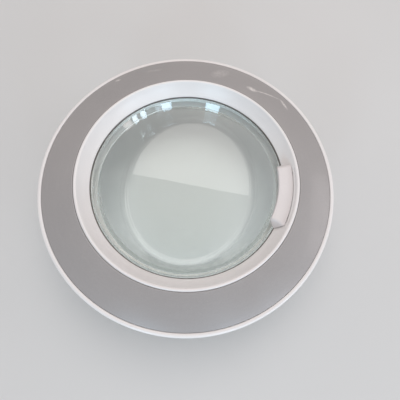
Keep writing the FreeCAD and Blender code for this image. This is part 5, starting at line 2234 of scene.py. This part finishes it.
@dataclass
class Studio:
    """Floor, lamps, air and camera."""

    bench: Bench
    effects: Effects
    lens: float = 28.8
    sensor: float = 36.0
    picture: float = 400.0
    nearest: float = 0.01
    distance: float = 437.6
    elevation: float = 68.6
    azimuth: float = 12.25
    roll: float = -0.86
    middle: Point = (187.73, 179.4)
    floor_half: float = 14.0
    floor_gap: float = 0.0002
    air_tone: Colour = (1.0, 0.95, 0.935)
    air_strength: float = 0.6
    lamps: tuple[SoftBox, ...] = (
        SoftBox("window_lamp_left", -102.0, 13.5, 2.4, 0.52, 0.75, 9.6, (0.58, 0.83, 1.0)),
        SoftBox("window_lamp_middle", -59.2, 14.0, 2.4, 0.36, 0.75, 10.4, (0.62, 0.83, 1.0)),
        SoftBox("window_lamp_curtain", -51.5, 13.5, 2.4, 0.22, 0.7, 3.0, (0.7, 0.86, 1.0)),
        SoftBox("window_lamp_narrow", -37.0, 13.0, 2.4, 0.2, 0.7, 9.5, (0.72, 0.88, 1.0)),
        SoftBox("window_lamp_right", -28.5, 12.0, 2.4, 0.18, 0.6, 9.0, (0.78, 0.9, 1.0)),
        SoftBox("window_lamp_far", -20.5, 11.5, 2.4, 0.34, 0.45, 3.5, (1.0, 0.9, 0.88)),
        SoftBox("wall_lamp", 14.0, 24.0, 2.4, 1.5, 0.8, 1.0, (1.0, 0.94, 0.94)),
        SoftBox("roof_lamp", 90.0, 70.0, 1.6, 1.3, 1.3, 1.7, (1.0, 0.95, 0.93)),
    )

    def floor(self) -> None:
        """Plain pale floor just under the lowest point of the door."""
        x, half, z = self.bench.origin.x, self.floor_half, CAD_BOX[0].z - self.floor_gap
        corners = [(x - half, -half, z), (x + half, -half, z), (x + half, half, z), (x - half, half, z)]
        mesh = bpy.data.meshes.new("studio_floor")
        mesh.from_pydata(corners, [], [(0, 1, 2, 3)])
        mesh.materials.append(PaleFloor("pale floor").material(self.effects))
        self.bench.linked("studio_floor", mesh)

    def lights(self) -> None:
        """Soft lamps that look at the door, and even air."""
        for lamp in self.lamps:
            data = bpy.data.lights.new(lamp.name, "AREA")
            data.shape = "RECTANGLE"
            data.size, data.size_y = lamp.width, lamp.height
            data.energy = lamp.power
            data.color = lamp.colour
            made = bpy.data.objects.new(lamp.name, data)
            made.location = self.bench.origin + lamp.place
            made.rotation_euler = (-lamp.place).to_track_quat("-Z", "Y").to_euler()
            made.visible_camera = False
            bpy.context.scene.collection.objects.link(made)
        air = bpy.data.worlds.new("studio air")
        air.use_nodes = True
        ground = air.node_tree.nodes["Background"]
        ground.inputs["Color"].default_value = opaque(self.air_tone)
        ground.inputs["Strength"].default_value = self.air_strength
        bpy.context.scene.world = air
        bpy.context.scene.view_settings.view_transform = "Standard"

    def camera(self) -> None:
        """Camera at the viewing angle of the picture, with the door's middle at its pixel."""
        rise, turn, roll = (math.radians(a) for a in (self.elevation, self.azimuth, self.roll))
        back = Vector((0.0, -math.cos(rise), math.sin(rise)))
        right = Vector((1.0, 0.0, 0.0))
        up = back.cross(right)
        level = Matrix((
            right * math.cos(roll) + up * math.sin(roll),
            up * math.cos(roll) - right * math.sin(roll),
            back,
        ))
        focus = self.lens / self.sensor * self.picture
        half = self.picture / 2
        x, y = (self.middle[0] - half) / focus, (half - self.middle[1]) / focus
        aim = Vector((0.0, 0.0, -1.0)).rotation_difference(Vector((x, y, -1.0)).normalized()).to_matrix()
        swing = Matrix.Rotation(turn, 3, "Z")
        facing = swing @ (aim @ level).transposed()
        data = bpy.data.cameras.new("picture_camera")
        data.lens, data.sensor_width = self.lens, self.sensor
        data.clip_start = self.nearest
        made = bpy.data.objects.new("picture_camera", data)
        place = self.bench.origin + swing @ back * (self.distance * MM)
        made.matrix_world = Matrix.Translation(place) @ facing.to_4x4()
        bpy.context.scene.collection.objects.link(made)
        bpy.context.scene.camera = made

    def build(self) -> None:
        """Set up the whole studio."""
        self.floor()
        self.lights()
        self.camera()


def main() -> None:
    """Build every sub-assembly in order, then the studio."""
    logging.basicConfig(level=logging.INFO, format="%(name)s: %(message)s")
    bench, effects = Bench(), Effects()
    materials = door_materials(bench, effects)
    shop = Workshop(bench, materials, TurnedRing(bench), ScrewSet(bench), WoundWire(bench))
    handle, pegs, flats = HandleSizes(), Pegs(), FlatPlaces()
    for part in (
        FrontFrame(shop, handle, pegs), SilverRing(shop, pegs), GlassBowl(shop), GlassSeal(shop),
        BackFrame(shop, pegs, flats), Screws(shop, pegs, flats), Handle(shop, handle), Latch(shop, handle),
        Hinge(shop), Studio(bench, effects),
    ):
        part.build()
        LOG.info("%s built", type(part).__name__)


if __name__ == "__main__":
    main()
